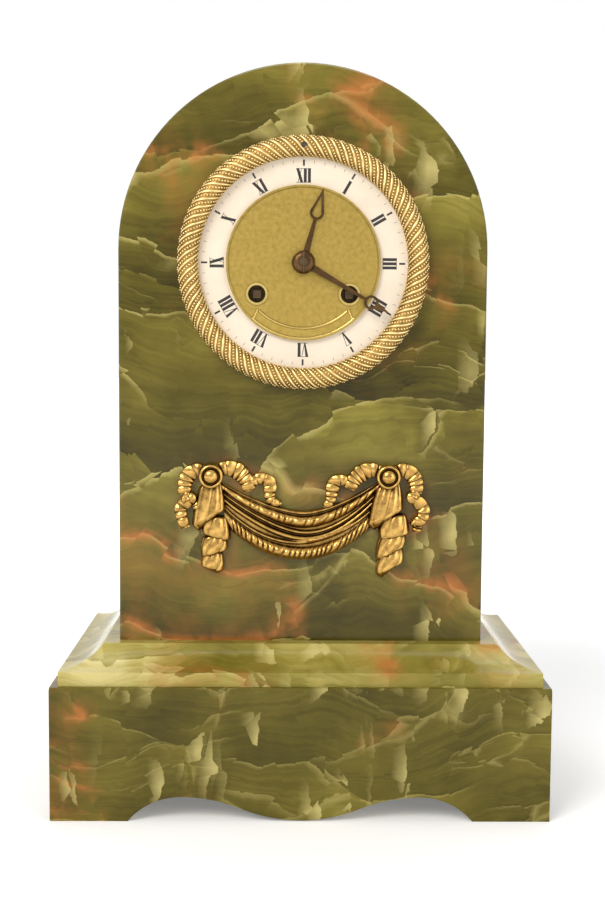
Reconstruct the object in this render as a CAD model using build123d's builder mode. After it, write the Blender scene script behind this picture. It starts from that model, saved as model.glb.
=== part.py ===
from build123d import *
import math
import os

os.makedirs("parts", exist_ok=True)

# Stone case and base in millimetres: the clock faces -Y and stands on Z = 0
CASE_W = 166.0
CASE_D = 78.0
CASE_STRAIGHT_H = 177.7
FRONT_SLAB_T = 14.0
BACK_SLAB_T = 12.0
WALL_T = 14.0
STONE_CHAMFER = 0.8
PLINTH_H = 59.9
PLINTH_OVERHANG = 28.0
PLINTH_BOARD_T = 22.0
PLINTH_CHAMFER = 1.3
APRON_FOOT_X = 76.6
APRON_CREST_X = 53.0
APRON_CREST_Z = 11.0
APRON_LOBE_Z = 0.5
LIP_H = 6.3
LIP_OVERHANG = 24.5
COVE_H = 9.1
COVE_TOP_OVERHANG = 6.6
COVE_SAG = 2.2
DIAL_DROP = 5.6
TIE_BOLT_R = 2.5
TIE_BOLT_REACH = 24.0
TIE_NUT_W = 10.0
TIE_NUT_H = 5.0

# Bezel and dial
BEZEL_R = 56.7
BEZEL_SIGHT_R = 46.5
BEZEL_RISE = 8.0
BEZEL_LIP_T = 2.2
BEZEL_LIP_W = 2.3
STRAND_COUNT = 78
STRAND_TWIST = 13.0
STRAND_RISE = 0.55
STRAND_W = 1.5
BEZEL_HOLE_R = 1.1
DIAL_BORE_R = 48.5
CHAPTER_INNER_R = 33.6
CHAPTER_T = 2.0
CENTRE_R = 34.6
CENTRE_T = 1.2
CENTRE_RIM_W = 0.9
CENTRE_RIM_RISE = 0.5
DIAL_PLATE_T = 1.5
WINDING_X = 20.75
WINDING_Z = -13.9
EYELET_R = 4.9
EYELET_BORE_R = 3.9
EYELET_RISE = 0.6
EYELET_TUBE_R = 4.4
DIAL_CLEAR = 1.0
DIAL_FOOT_R = 1.8
FOOT_RING_R = 35.0

# Hands
MINUTE_HAND_LEN = 44.5
MINUTE_RING_R = 3.2
MINUTE_TIP_LEN = 6.3
MINUTE_ANGLE = -30.0
HOUR_HAND_LEN = 34.0
HOUR_RING_R = 3.1
HOUR_ANGLE = 75.0
HAND_T = 1.0
HAND_EYE_W = 1.1
HAND_BOSS_R = 4.4
COLLET_R = 5.2
COLLET_H = 3.4
HOUR_HAND_S = -4.8
MINUTE_HAND_S = -7.6
HAND_PIN_R = 0.5
HAND_PIN_L = 9.0
CANNON_R = 1.7
HOUR_PIPE_R = 2.6
CENTRE_POST_R = 1.0
CANNON_S = 6.5

# Movement
PLATE_R = 43.0
PLATE_T = 2.5
PLATE_S = 10.0
PLATE_GAP = 34.0
PILLAR_R = 2.6
PILLAR_TENON_R = 1.5
PIVOT_R = 0.4
ARBOR_R = 0.55
RUN = 0.05
FIT = 0.02
WHEEL_T = 1.4
PINION_L = 2.6
PINION_LEAD = 0.6
GREAT_PINION_L = 3.5
GREAT_TEETH = 60
GREAT_PINION = 10
GREAT_MODULE = 0.6
SECOND_TEETH = 48
CENTRE_PINION = 8
SECOND_MODULE = 0.5
CENTRE_TEETH = 84
THIRD_PINION = 7
CENTRE_MODULE = 0.3
THIRD_TEETH = 70
ESCAPE_PINION = 7
ESCAPE_TEETH = 36
ESCAPE_R = 8.5
STRIKE_TEETH = 48
PIN_PINION = 8
STRIKE_MODULE = 0.4
PIN_WHEEL_TEETH = 48
STRIKE_SECOND_SHIFT = 3.15
PIN_WHEEL_SHIFT = 1.4
PIN_COUNT = 8
CANNON_TEETH = 12
MINUTE_TEETH = 36
MINUTE_PINION = 10
HOUR_TEETH = 40
CANNON_MODULE = 0.5
PALLET_Z = 28.0
DRUM_R = 16.6
DRUM_L = 14.0
WINDING_ARBOR_R = 2.6
WINDING_SQUARE = 3.6
RATCHET_R = 6.5
RATCHET_TEETH = 20
RATCHET_T = 2.0
WINDING_TIP_S = 0.5
WINDING_PIVOT_R = 1.5
CLICK_CLEAR = 0.4
PIN_R = 0.5
PIN_L = 2.0
CRUTCH_L = 15.0
CRUTCH_T = 1.2
FORK_X = 2.3
FORK_T = 0.8

# Pendulum, bell and hammer
PENDULUM_INSET = 21.0
PENDULUM_FLOOR_GAP = 9.1
ROD_TAIL = 3.0
ROD_R = 1.1
BOB_R = 20.0
BOB_T = 9.0
BELL_R = 27.0
BELL_X = 13.0
BELL_Z = -6.0
BELL_INSET = 18.0
BELL_DEPTH = 13.5
BELL_WALL = 1.4
BELL_STUD_R = 1.8
HAMMER_X = -30.0
HAMMER_Z = 26.0
HAMMER_HEAD_R = 3.0
HAMMER_CLEAR = 0.6
HAMMER_ARM_T = 1.6
HAMMER_ARM_W = 2.0
SUSPENSION_PIN_R = 0.9
EYE_R = 2.4
EYE_HALF = 1.6
NUT_R = 3.6
NUT_H = 3.0

# Rear fittings
RING_R = 52.0
RING_INNER_R = 42.5
RING_T = 3.0
DOOR_R = 47.0
DOOR_T = 1.4
DOOR_RIM = 1.6
HINGE_X = -50.6
KNUCKLE_R = 2.2
HINGE_PIN_R = 0.9
KNUCKLE_L = 7.0
STRAP_X = 44.5
STRAP_W = 8.0
STRAP_T = 1.6
STRAP_LUG = 4.0
STRAP_SCREW_R = 1.2
SCREW_HEAD_R = 2.2
SCREW_HEAD_T = 1.6
DOOR_GAP = 0.3
KNOB_X = 39.0
KNOB_SHANK_R = 1.6

# Gilt drapery mount on the case front
ROSETTE_X = 40.0
ROSETTE_UP = 76.5
ROSETTE_R = 5.4
ROSETTE_H = 8.0
ROSETTE_DOME = 1.6
ROSETTE_DOME_R = 3.2
ROSETTE_GROOVE_W = 0.8
ROSETTE_STEM_R = 3.6
ROSETTE_STUD_R = 1.5
MOUNT_GAP = 0.3
SWAG_TOP_UP = 60.9
SWAG_BOTTOM_UP = 38.1
SWAG_DEPTH = 6.5
SWAG_END_W = 6.0
SWAG_END_DEPTH = 3.6
SWAG_STATIONS = 9
RIBBON_W = 4.0
RIBBON_DEPTH = 4.2
TAIL_BOTTOM_UP = 33.0
TAIL_R = 6.2
TAIL_CUFFS = 4
TAIL_SHIFT = 2.4
STUD_NUT_T = 3.0

# Positions that follow from the driving sizes
CASE_FRONT = -CASE_D / 2
ARCH_R = CASE_W / 2
CASE_BOTTOM = PLINTH_H + LIP_H + COVE_H
ARCH_Z = CASE_BOTTOM + CASE_STRAIGHT_H
DIAL_Z = ARCH_Z - DIAL_DROP
BACK_PLATE_S = PLATE_S + PLATE_T + PLATE_GAP
PLATE_BACK_S = BACK_PLATE_S + PLATE_T
TRAIN_S = PLATE_S + PLATE_T
TIE_X = ARCH_R - WALL_T / 2
PENDULUM_S = CASE_D - PENDULUM_INSET
BELL_RIM_S = CASE_D - BELL_INSET
ROSETTE_Z = CASE_BOTTOM + ROSETTE_UP
SWAG_TOP_Z = CASE_BOTTOM + SWAG_TOP_UP
SWAG_BOTTOM_Z = CASE_BOTTOM + SWAG_BOTTOM_UP
TAIL_BOTTOM_Z = CASE_BOTTOM + TAIL_BOTTOM_UP


def dial_plane(s, x=0.0, z=0.0):
    """Plane facing the front, s behind the case front, centred on the dial axis plus (x, z)."""
    return Plane(origin=(x, CASE_FRONT + s, DIAL_Z + z), x_dir=(1, 0, 0), z_dir=(0, -1, 0))


def front_plane(s):
    """Plane facing the front whose local axes are X and Z of the clock."""
    return Plane(origin=(0, CASE_FRONT + s, 0), x_dir=(1, 0, 0), z_dir=(0, -1, 0))


def save(builder, label):
    """Name a finished piece and write its solid."""
    builder.part.label = label
    export_step(builder.part, f"parts/{label}.step")


def disc(radius, s_front, s_back, x=0.0, z=0.0, mode=Mode.ADD):
    """Round slice on an axis parallel to Y."""
    with BuildSketch(dial_plane(s_back, x, z)) as face:
        Circle(radius)
    extrude(face.sketch, amount=s_back - s_front, mode=mode)


def polar(radius, degrees):
    """Point at a radius and an angle."""
    return (radius * math.cos(math.radians(degrees)), radius * math.sin(math.radians(degrees)))


def meet(a, reach_a, b, reach_b, side):
    """Point at set distances from two centres, on the left (1) or right (-1) of the line a to b."""
    span = math.dist(a, b)
    along = (reach_a**2 - reach_b**2 + span**2) / (2 * span)
    across = side * math.sqrt(reach_a**2 - along**2)
    ux = (b[0] - a[0]) / span
    uz = (b[1] - a[1]) / span
    return (a[0] + along * ux - across * uz, a[1] + along * uz + across * ux)


def mesh_phase(a, teeth_a, phase_a, b, teeth_b):
    """Turn of gear b, in degrees, that puts its teeth into the gaps of gear a."""
    line = math.degrees(math.atan2(b[1] - a[1], b[0] - a[0]))
    into_a = (line - phase_a) * teeth_a / 360
    return line + 180 - (0.5 - into_a) * 360 / teeth_b


def toothed(teeth, module, phase, s_front, s_back, x, z):
    """Toothed slice with straight flanks and narrow teeth that run with play."""
    pitch_r = teeth * module / 2
    tip_r = pitch_r + 0.75 * module
    root_r = pitch_r - 1.5 * module
    step = 360 / teeth
    corners = []
    for tooth in range(teeth):
        middle = phase + tooth * step
        corners.append(polar(tip_r, middle - 0.07 * step))
        corners.append(polar(tip_r, middle + 0.07 * step))
        corners.append(polar(root_r, middle + 0.5 * step))
    with BuildSketch(dial_plane(s_back, x, z)) as face:
        with BuildLine():
            Polyline(*corners, close=True)
        make_face()
    extrude(face.sketch, amount=s_back - s_front)


def cross_out(rim_r, hub_r, bar_w, s_front, s_back, x, z):
    """Cut a wheel's web down to four straight crossings."""
    with BuildSketch(dial_plane(s_back, x, z)) as web:
        Circle(rim_r)
        Circle(hub_r, mode=Mode.SUBTRACT)
        Rectangle(2 * rim_r, bar_w, mode=Mode.SUBTRACT)
        Rectangle(bar_w, 2 * rim_r, mode=Mode.SUBTRACT)
    extrude(web.sketch, amount=s_back - s_front, mode=Mode.SUBTRACT)


def arbor(x, z, s_front=PLATE_S, s_back=PLATE_BACK_S):
    """Steel arbor with a pivot at each end, between the movement plates."""
    disc(ARBOR_R, TRAIN_S + RUN, BACK_PLATE_S - RUN, x, z)
    disc(PIVOT_R, s_front, s_back, x, z)


# Centres of the arbors, as (x, z) from the dial axis
going_at = (WINDING_X, WINDING_Z)
strike_at = (-WINDING_X, WINDING_Z)
great_reach = (GREAT_TEETH + GREAT_PINION) * GREAT_MODULE / 2
second_at = meet(
    (0, 0), (SECOND_TEETH + CENTRE_PINION) * SECOND_MODULE / 2, going_at, great_reach, 1
)
third_reach = (CENTRE_TEETH + THIRD_PINION) * CENTRE_MODULE / 2
third_at = (-third_reach * math.sqrt(0.5), third_reach * math.sqrt(0.5))
escape_reach = (THIRD_TEETH + ESCAPE_PINION) * CENTRE_MODULE / 2
escape_at = (0, third_at[1] + math.sqrt(escape_reach**2 - third_at[0] ** 2))
strike_second_at = (
    strike_at[0] - STRIKE_SECOND_SHIFT,
    strike_at[1] + math.sqrt(great_reach**2 - STRIKE_SECOND_SHIFT**2),
)
pin_reach = (STRIKE_TEETH + PIN_PINION) * STRIKE_MODULE / 2
pin_at = (
    strike_second_at[0] + PIN_WHEEL_SHIFT,
    strike_second_at[1] + math.sqrt(pin_reach**2 - PIN_WHEEL_SHIFT**2),
)
motion_reach = (CANNON_TEETH + MINUTE_TEETH) * CANNON_MODULE / 2
minute_at = (0, motion_reach)
hour_module = 2 * motion_reach / (MINUTE_PINION + HOUR_TEETH)
pillar_spots = [(30.0, 22.0), (-37.5, 1.5), (0.0, -37.0), (12.5, 35.5)]

# Depths of the train, counted from the case front
great_s = TRAIN_S + 2.0
drum_s = great_s + 2.5
second_wheel_s = TRAIN_S + 20.0
centre_wheel_s = TRAIN_S + 24.0
third_wheel_s = TRAIN_S + 28.0
escape_s = TRAIN_S + 31.0
pin_wheel_s = TRAIN_S + 24.0

# Stone base: four boards under a coved step
plinth_w = CASE_W + 2 * PLINTH_OVERHANG
plinth_d = CASE_D + 2 * PLINTH_OVERHANG


def apron_board(y_face):
    """Long plinth board with a waved lower edge, its outer side at y_face."""
    outward = math.copysign(1, y_face)
    with BuildSketch(Plane(origin=(0, y_face, 0), x_dir=(1, 0, 0), z_dir=(0, -1, 0))) as board:
        with BuildLine():
            foot_r = Line((APRON_FOOT_X, 0), (plinth_w / 2, 0))
            right = Line(foot_r @ 1, (plinth_w / 2, PLINTH_H))
            top = Line(right @ 1, (-plinth_w / 2, PLINTH_H))
            left = Line(top @ 1, (-plinth_w / 2, 0))
            Line(left @ 1, (-APRON_FOOT_X, 0))
            crest_l = (-APRON_CREST_X, APRON_CREST_Z)
            middle_l = (-APRON_CREST_X / 2, (APRON_CREST_Z + APRON_LOBE_Z) / 2)
            rise_l = TangentArc(crest_l, (-APRON_FOOT_X, 0), tangent=(-1, 0))
            fall_l = TangentArc(rise_l @ 0, middle_l, tangent=(1, 0))
            TangentArc((0, APRON_LOBE_Z), fall_l @ 1, tangent=(-1, 0))
            middle_r = (APRON_CREST_X / 2, (APRON_CREST_Z + APRON_LOBE_Z) / 2)
            fall_r = TangentArc((0, APRON_LOBE_Z), middle_r, tangent=(1, 0))
            crest_r = TangentArc((APRON_CREST_X, APRON_CREST_Z), fall_r @ 1, tangent=(-1, 0))
            TangentArc(crest_r @ 0, (APRON_FOOT_X, 0), tangent=(1, 0))
        make_face()
    extrude(board.sketch, amount=outward * PLINTH_BOARD_T)


with BuildPart() as plinth_front:
    apron_board(-plinth_d / 2)
    top_edge = plinth_front.edges().filter_by(Axis.X).sort_by(Axis.Z)[-2:].sort_by(Axis.Y)[0]
    chamfer(top_edge, PLINTH_CHAMFER)
save(plinth_front, "plinth_front")

with BuildPart() as plinth_back:
    apron_board(plinth_d / 2)
    top_edge = plinth_back.edges().filter_by(Axis.X).sort_by(Axis.Z)[-2:].sort_by(Axis.Y)[-1]
    chamfer(top_edge, PLINTH_CHAMFER)
save(plinth_back, "plinth_back")

side_board_x = plinth_w / 2 - PLINTH_BOARD_T / 2
for side, name in ((-1, "plinth_left_side"), (1, "plinth_right_side")):
    with BuildPart() as plinth_side:
        with Locations((side * side_board_x, 0, PLINTH_H / 2)):
            Box(PLINTH_BOARD_T, plinth_d - 2 * PLINTH_BOARD_T, PLINTH_H)
        outer_edge = plinth_side.edges().filter_by(Axis.Y).sort_by(Axis.Z)[-2:]
        outer_edge = outer_edge.sort_by(Axis.X)[0 if side < 0 else -1]
        chamfer(outer_edge, PLINTH_CHAMFER)
    save(plinth_side, name)


def step_profile(case_half):
    """Half section of the step closed on its middle line: flat lip, then a hollow cove."""
    lip = case_half + LIP_OVERHANG
    shoulder = case_half + COVE_TOP_OVERHANG
    lip_top = PLINTH_H + LIP_H
    run = lip - shoulder
    slope = math.hypot(run, COVE_H)
    hollow = (
        (lip + shoulder) / 2 - COVE_SAG * COVE_H / slope,
        lip_top + COVE_H / 2 - COVE_SAG * run / slope,
    )
    with BuildLine() as section:
        Line((0, PLINTH_H), (lip, PLINTH_H))
        Line((lip, PLINTH_H), (lip, lip_top))
        ThreePointArc((lip, lip_top), hollow, (shoulder, CASE_BOTTOM))
        Line((shoulder, CASE_BOTTOM), (0, CASE_BOTTOM))
        Line((0, CASE_BOTTOM), (0, PLINTH_H))
    make_face(section.edges())
    mirror(about=Plane.YZ)


with BuildPart() as step_moulding:
    with BuildSketch(Plane.XZ):
        step_profile(CASE_W / 2)
    extrude(amount=plinth_d, both=True)
    with BuildSketch(Plane.YZ):
        step_profile(CASE_D / 2)
    extrude(amount=plinth_w, both=True, mode=Mode.INTERSECT)
    with Locations((-TIE_X, 0, PLINTH_H), (TIE_X, 0, PLINTH_H)):
        Cylinder(TIE_BOLT_R + RUN, 3 * (LIP_H + COVE_H), mode=Mode.SUBTRACT)
save(step_moulding, "step_moulding")


def arched_outline(half_w, foot_z):
    """Upright slab outline with a round top."""
    with BuildLine() as outline:
        Line((half_w, ARCH_Z), (half_w, foot_z))
        Line((half_w, foot_z), (-half_w, foot_z))
        Line((-half_w, foot_z), (-half_w, ARCH_Z))
        ThreePointArc((-half_w, ARCH_Z), (0, ARCH_Z + half_w), (half_w, ARCH_Z))
    make_face(outline.edges())


with BuildPart() as case_front:
    with BuildSketch(front_plane(FRONT_SLAB_T)):
        arched_outline(ARCH_R, CASE_BOTTOM)
        with Locations((0, DIAL_Z)):
            Circle(DIAL_BORE_R, mode=Mode.SUBTRACT)
        with Locations((-ROSETTE_X, ROSETTE_Z), (ROSETTE_X, ROSETTE_Z)):
            Circle(ROSETTE_STUD_R + RUN, mode=Mode.SUBTRACT)
    extrude(amount=FRONT_SLAB_T)
    face_edges = case_front.faces().sort_by(Axis.Y)[0].outer_wire().edges()
    chamfer(face_edges.filter_by(lambda e: e.center().Z > CASE_BOTTOM + 1), STONE_CHAMFER)
save(case_front, "case_front")

with BuildPart() as case_back:
    with BuildSketch(front_plane(CASE_D)):
        arched_outline(ARCH_R, CASE_BOTTOM)
        with Locations((0, DIAL_Z)):
            Circle(DIAL_BORE_R, mode=Mode.SUBTRACT)
    extrude(amount=BACK_SLAB_T)
    face_edges = case_back.faces().sort_by(Axis.Y)[-1].outer_wire().edges()
    chamfer(face_edges.filter_by(lambda e: e.center().Z > CASE_BOTTOM + 1), STONE_CHAMFER)
save(case_back, "case_back")

with BuildPart() as case_wall:
    with BuildSketch(front_plane(CASE_D - BACK_SLAB_T)):
        arched_outline(ARCH_R, CASE_BOTTOM)
    extrude(amount=CASE_D - BACK_SLAB_T - FRONT_SLAB_T)
    with BuildSketch(front_plane(CASE_D)):
        arched_outline(ARCH_R - WALL_T, CASE_BOTTOM - WALL_T)
    extrude(amount=CASE_D, mode=Mode.SUBTRACT)
    with Locations((-TIE_X, 0, CASE_BOTTOM), (TIE_X, 0, CASE_BOTTOM)):
        Cylinder(TIE_BOLT_R + RUN, 2 * (TIE_BOLT_REACH + 1), mode=Mode.SUBTRACT)
save(case_wall, "case_wall")

with BuildPart() as tie_bolts:
    with BuildSketch(Plane.XY.offset(PLINTH_H - TIE_NUT_H)):
        with Locations((-TIE_X, 0), (TIE_X, 0)):
            RegularPolygon(TIE_NUT_W / 2, 6)
    extrude(amount=TIE_NUT_H)
    with BuildSketch(Plane.XY.offset(PLINTH_H)):
        with Locations((-TIE_X, 0), (TIE_X, 0)):
            Circle(TIE_BOLT_R)
    extrude(amount=LIP_H + COVE_H + TIE_BOLT_REACH)
save(tie_bolts, "tie_bolts")

# Rope bezel: a half-round ring carrying slanted strands
bezel_mid_r = (BEZEL_R + BEZEL_SIGHT_R) / 2
bezel_half_w = (BEZEL_R - BEZEL_SIGHT_R) / 2
crown_rise = BEZEL_RISE - STRAND_RISE - BEZEL_LIP_T


def rope_point(across, lift, degrees):
    """Point on the bezel: across from the outer edge (-1) to the sight edge (1), lifted off the ring."""
    swing = math.radians(90 + 90 * across)
    radius = bezel_mid_r + (bezel_half_w + lift) * math.cos(swing)
    s = -BEZEL_LIP_T - (crown_rise + lift) * math.sin(swing)
    px, pz = polar(radius, degrees)
    return Vector(px, CASE_FRONT + s, DIAL_Z + pz)


def strand_section(across):
    """Three-sided cut through a strand, turned along the twist."""
    half_turn = math.degrees(STRAND_W / 2 / bezel_mid_r)
    turn = 90 - STRAND_TWIST * across / 2
    left = rope_point(across, -0.5, turn + half_turn)
    crest = rope_point(across, STRAND_RISE, turn)
    right = rope_point(across, -0.5, turn - half_turn)
    return Face(Wire.make_polygon([left, crest, right]))


with BuildPart() as rope_strand:
    loft([strand_section(across) for across in (-0.78, -0.4, 0.0, 0.4, 0.78)], ruled=True)

with BuildPart() as rope_bezel:
    with BuildSketch(Plane(origin=(0, CASE_FRONT, DIAL_Z), x_dir=(1, 0, 0), z_dir=(0, 0, 1))):
        with BuildLine():
            seat_r = BEZEL_SIGHT_R + BEZEL_LIP_W
            Polyline(
                (BEZEL_SIGHT_R, -BEZEL_LIP_T),
                (seat_r, -BEZEL_LIP_T),
                (seat_r, 0),
                (BEZEL_R, 0),
                (BEZEL_R, -BEZEL_LIP_T),
            )
            EllipticalCenterArc(
                (bezel_mid_r, -BEZEL_LIP_T), bezel_half_w, crown_rise, start_angle=180, arc_size=180
            )
        make_face()
    dial_axis = Axis((0, 0, DIAL_Z), (0, 1, 0))
    revolve(axis=dial_axis)
    pitch = 360 / STRAND_COUNT
    add([rope_strand.part.rotate(dial_axis, (index + 0.5) * pitch) for index in range(STRAND_COUNT)])
    disc(BEZEL_HOLE_R, -2 * BEZEL_RISE, -1.0, 0, bezel_mid_r, mode=Mode.SUBTRACT)
save(rope_bezel, "rope_bezel")

# Dial: enamel chapter ring and gilt centre on a brass plate
winding_spots = [(-WINDING_X, WINDING_Z), (WINDING_X, WINDING_Z)]
centre_s = -CHAPTER_T - CENTRE_T

with BuildPart() as chapter_ring:
    disc(BEZEL_SIGHT_R + BEZEL_LIP_W - 0.4, -CHAPTER_T, 0)
    disc(CHAPTER_INNER_R, -2 * CHAPTER_T, CHAPTER_T, mode=Mode.SUBTRACT)
save(chapter_ring, "chapter_ring")

with BuildPart() as dial_centre:
    disc(CENTRE_R, centre_s, -CHAPTER_T)
    with BuildSketch(dial_plane(centre_s)):
        Circle(CENTRE_R)
        Circle(CENTRE_R - CENTRE_RIM_W, mode=Mode.SUBTRACT)
    extrude(amount=CENTRE_RIM_RISE)
    disc(HOUR_PIPE_R + DIAL_CLEAR, 3 * centre_s, 0, mode=Mode.SUBTRACT)
    for x, z in winding_spots:
        disc(EYELET_TUBE_R + FIT, 3 * centre_s, 0, x, z, mode=Mode.SUBTRACT)
save(dial_centre, "dial_centre")

with BuildPart() as winding_eyelets:
    for x, z in winding_spots:
        disc(EYELET_R, centre_s - EYELET_RISE, centre_s, x, z)
        disc(EYELET_TUBE_R, centre_s, -0.5, x, z)
        disc(EYELET_BORE_R, 3 * centre_s, 0, x, z, mode=Mode.SUBTRACT)
save(winding_eyelets, "winding_eyelets")

with BuildPart() as dial_plate:
    disc(DIAL_BORE_R - 0.3, 0, DIAL_PLATE_T)
    disc(HOUR_PIPE_R + DIAL_CLEAR, -1, 2 * DIAL_PLATE_T, mode=Mode.SUBTRACT)
    for x, z in winding_spots:
        disc(EYELET_R, -1, 2 * DIAL_PLATE_T, x, z, mode=Mode.SUBTRACT)
save(dial_plate, "dial_plate")

with BuildPart() as dial_feet:
    for angle in (40, 140, 270):
        x, z = polar(FOOT_RING_R, angle)
        disc(DIAL_FOOT_R, DIAL_PLATE_T, PLATE_S, x, z)
        disc(DIAL_FOOT_R * 1.5, DIAL_PLATE_T, DIAL_PLATE_T + 1, x, z)
save(dial_feet, "dial_feet")


def hand_plane(s, degrees):
    """Plane on the dial axis whose local X points along a hand."""
    along_x, along_z = polar(1, degrees)
    return Plane(origin=(0, CASE_FRONT + s, DIAL_Z), x_dir=(along_x, 0, along_z), z_dir=(0, -1, 0))


# Hands with open eyes, the minute hand above the hour hand
with BuildPart() as hour_hand:
    eye_x = HOUR_HAND_LEN - 3.6 * HOUR_RING_R
    neck_x = eye_x - HOUR_RING_R + 0.4
    cheek_y = HOUR_RING_R - 0.1
    with BuildSketch(hand_plane(HOUR_HAND_S, HOUR_ANGLE)):
        Circle(HAND_BOSS_R)
        Polygon((2, 1.5), (neck_x, 0.7), (neck_x, -0.7), (2, -1.5), align=None)
        with Locations((eye_x, 0)):
            Circle(HOUR_RING_R)
        Polygon((eye_x + 0.8, cheek_y), (HOUR_HAND_LEN, 0), (eye_x + 0.8, -cheek_y), align=None)
        with Locations((eye_x, 0)):
            Circle(HOUR_RING_R - HAND_EYE_W, mode=Mode.SUBTRACT)
        Polygon(
            (eye_x + 0.4, cheek_y - HAND_EYE_W),
            (HOUR_HAND_LEN - 3.2, 0),
            (eye_x + 0.4, HAND_EYE_W - cheek_y),
            align=None,
            mode=Mode.SUBTRACT,
        )
        Circle(HOUR_PIPE_R + FIT, mode=Mode.SUBTRACT)
    extrude(amount=HAND_T)
save(hour_hand, "hour_hand")

with BuildPart() as minute_hand:
    eye_x = MINUTE_HAND_LEN - MINUTE_TIP_LEN - MINUTE_RING_R
    neck_x = eye_x - MINUTE_RING_R + 0.4
    with BuildSketch(hand_plane(MINUTE_HAND_S, MINUTE_ANGLE)):
        Circle(HAND_BOSS_R)
        Polygon((2, 1.6), (neck_x, 0.6), (neck_x, -0.6), (2, -1.6), align=None)
        with Locations((eye_x, 0)):
            Circle(MINUTE_RING_R)
            Circle(MINUTE_RING_R - HAND_EYE_W, mode=Mode.SUBTRACT)
        tip_x = eye_x + MINUTE_RING_R - 0.4
        Polygon((tip_x, 1.5), (MINUTE_HAND_LEN, 0), (tip_x, -1.5), align=None)
        Circle(CANNON_R + FIT, mode=Mode.SUBTRACT)
    extrude(amount=HAND_T)
save(minute_hand, "minute_hand")

collet_s = MINUTE_HAND_S - HAND_T
with BuildPart() as hand_collet:
    disc(COLLET_R, collet_s - COLLET_H, collet_s)
    fillet(hand_collet.edges().sort_by(Axis.Y)[0], COLLET_H * 0.8)
    disc(CANNON_R + FIT, 3 * collet_s, 0, mode=Mode.SUBTRACT)
save(hand_collet, "hand_collet")

pin_s = collet_s - COLLET_H - HAND_PIN_R
with BuildPart() as hand_pin:
    with BuildSketch(Plane.XY.offset(DIAL_Z - HAND_PIN_L / 2)):
        with Locations((0, CASE_FRONT + pin_s)):
            Circle(HAND_PIN_R)
    extrude(amount=HAND_PIN_L)
save(hand_pin, "hand_pin")

# Motion work between the dial and the front plate
cannon_phase = 0.0
minute_phase = mesh_phase((0, 0), CANNON_TEETH, cannon_phase, minute_at, MINUTE_TEETH)
hour_phase = mesh_phase(minute_at, MINUTE_PINION, minute_phase, (0, 0), HOUR_TEETH)

with BuildPart() as cannon_pinion:
    toothed(CANNON_TEETH, CANNON_MODULE, cannon_phase, CANNON_S, CANNON_S + 2.0, 0, 0)
    disc(CANNON_R, pin_s - 2 * HAND_PIN_R, CANNON_S)
    disc(CENTRE_POST_R + RUN, -6.5, PLATE_S, mode=Mode.SUBTRACT)
    with BuildSketch(Plane.XY.offset(DIAL_Z - HAND_PIN_L)):
        with Locations((0, CASE_FRONT + pin_s)):
            Circle(HAND_PIN_R + FIT)
    extrude(amount=2 * HAND_PIN_L, mode=Mode.SUBTRACT)
save(cannon_pinion, "cannon_pinion")

with BuildPart() as minute_wheel:
    toothed(MINUTE_TEETH, CANNON_MODULE, minute_phase, CANNON_S + 0.3, CANNON_S + 1.7, *minute_at)
    cross_out(6.8, 3.0, 2.0, CANNON_S, CANNON_S + 2, *minute_at)
    toothed(MINUTE_PINION, hour_module, minute_phase, CANNON_S - 2.5, CANNON_S + 0.3, *minute_at)
    disc(PIVOT_R * 1.75, CANNON_S + 1.7, TRAIN_S, *minute_at)
save(minute_wheel, "minute_wheel")

with BuildPart() as hour_wheel:
    toothed(HOUR_TEETH, hour_module, hour_phase, CANNON_S - 2.2, CANNON_S - 0.8, 0, 0)
    cross_out(7.6, 3.8, 2.0, CANNON_S - 3, CANNON_S, 0, 0)
    disc(HOUR_PIPE_R, HOUR_HAND_S - HAND_T - 0.3, CANNON_S - 2.2)
    disc(CANNON_R + RUN, -PLATE_S, PLATE_S, mode=Mode.SUBTRACT)
save(hour_wheel, "hour_wheel")

# Movement frame
wheel_spots = [second_at, third_at, escape_at, strike_second_at, pin_at]
hammer_at = (HAMMER_X, HAMMER_Z)
pallet_at = (0, PALLET_Z)


def plate(s_front):
    """Round movement plate with its pivot and pillar holes."""
    s_back = s_front + PLATE_T
    disc(PLATE_R, s_front, s_back)
    for x, z in wheel_spots + [hammer_at, pallet_at]:
        disc(PIVOT_R + RUN, s_front - 1, s_back + 1, x, z, mode=Mode.SUBTRACT)
    for x, z in pillar_spots:
        disc(PILLAR_TENON_R + FIT, s_front - 1, s_back + 1, x, z, mode=Mode.SUBTRACT)


with BuildPart() as front_plate:
    plate(PLATE_S)
    disc(CENTRE_POST_R + RUN, 0, 2 * PLATE_S, mode=Mode.SUBTRACT)
    disc(PIVOT_R * 1.75 + RUN, 0, 2 * PLATE_S, *minute_at, mode=Mode.SUBTRACT)
    for x, z in winding_spots:
        disc(WINDING_ARBOR_R + RUN, 0, 2 * PLATE_S, x, z, mode=Mode.SUBTRACT)
save(front_plate, "front_plate")

with BuildPart() as back_plate:
    plate(BACK_PLATE_S)
    disc(PIVOT_R + RUN, BACK_PLATE_S - 1, PLATE_BACK_S + 1, mode=Mode.SUBTRACT)
    for x, z in winding_spots:
        disc(WINDING_PIVOT_R + RUN, BACK_PLATE_S - 1, PLATE_BACK_S + 1, x, z, mode=Mode.SUBTRACT)
save(back_plate, "back_plate")

with BuildPart() as plate_pillars:
    for x, z in pillar_spots:
        disc(PILLAR_R, TRAIN_S, BACK_PLATE_S, x, z)
        disc(PILLAR_TENON_R, PLATE_S, PLATE_BACK_S + 1.5, x, z)
save(plate_pillars, "plate_pillars")

# Barrels and winding arbors
going_phase = 0.0
strike_phase = 0.0
ratchet_s = PLATE_S - RATCHET_T - 1.5


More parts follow.
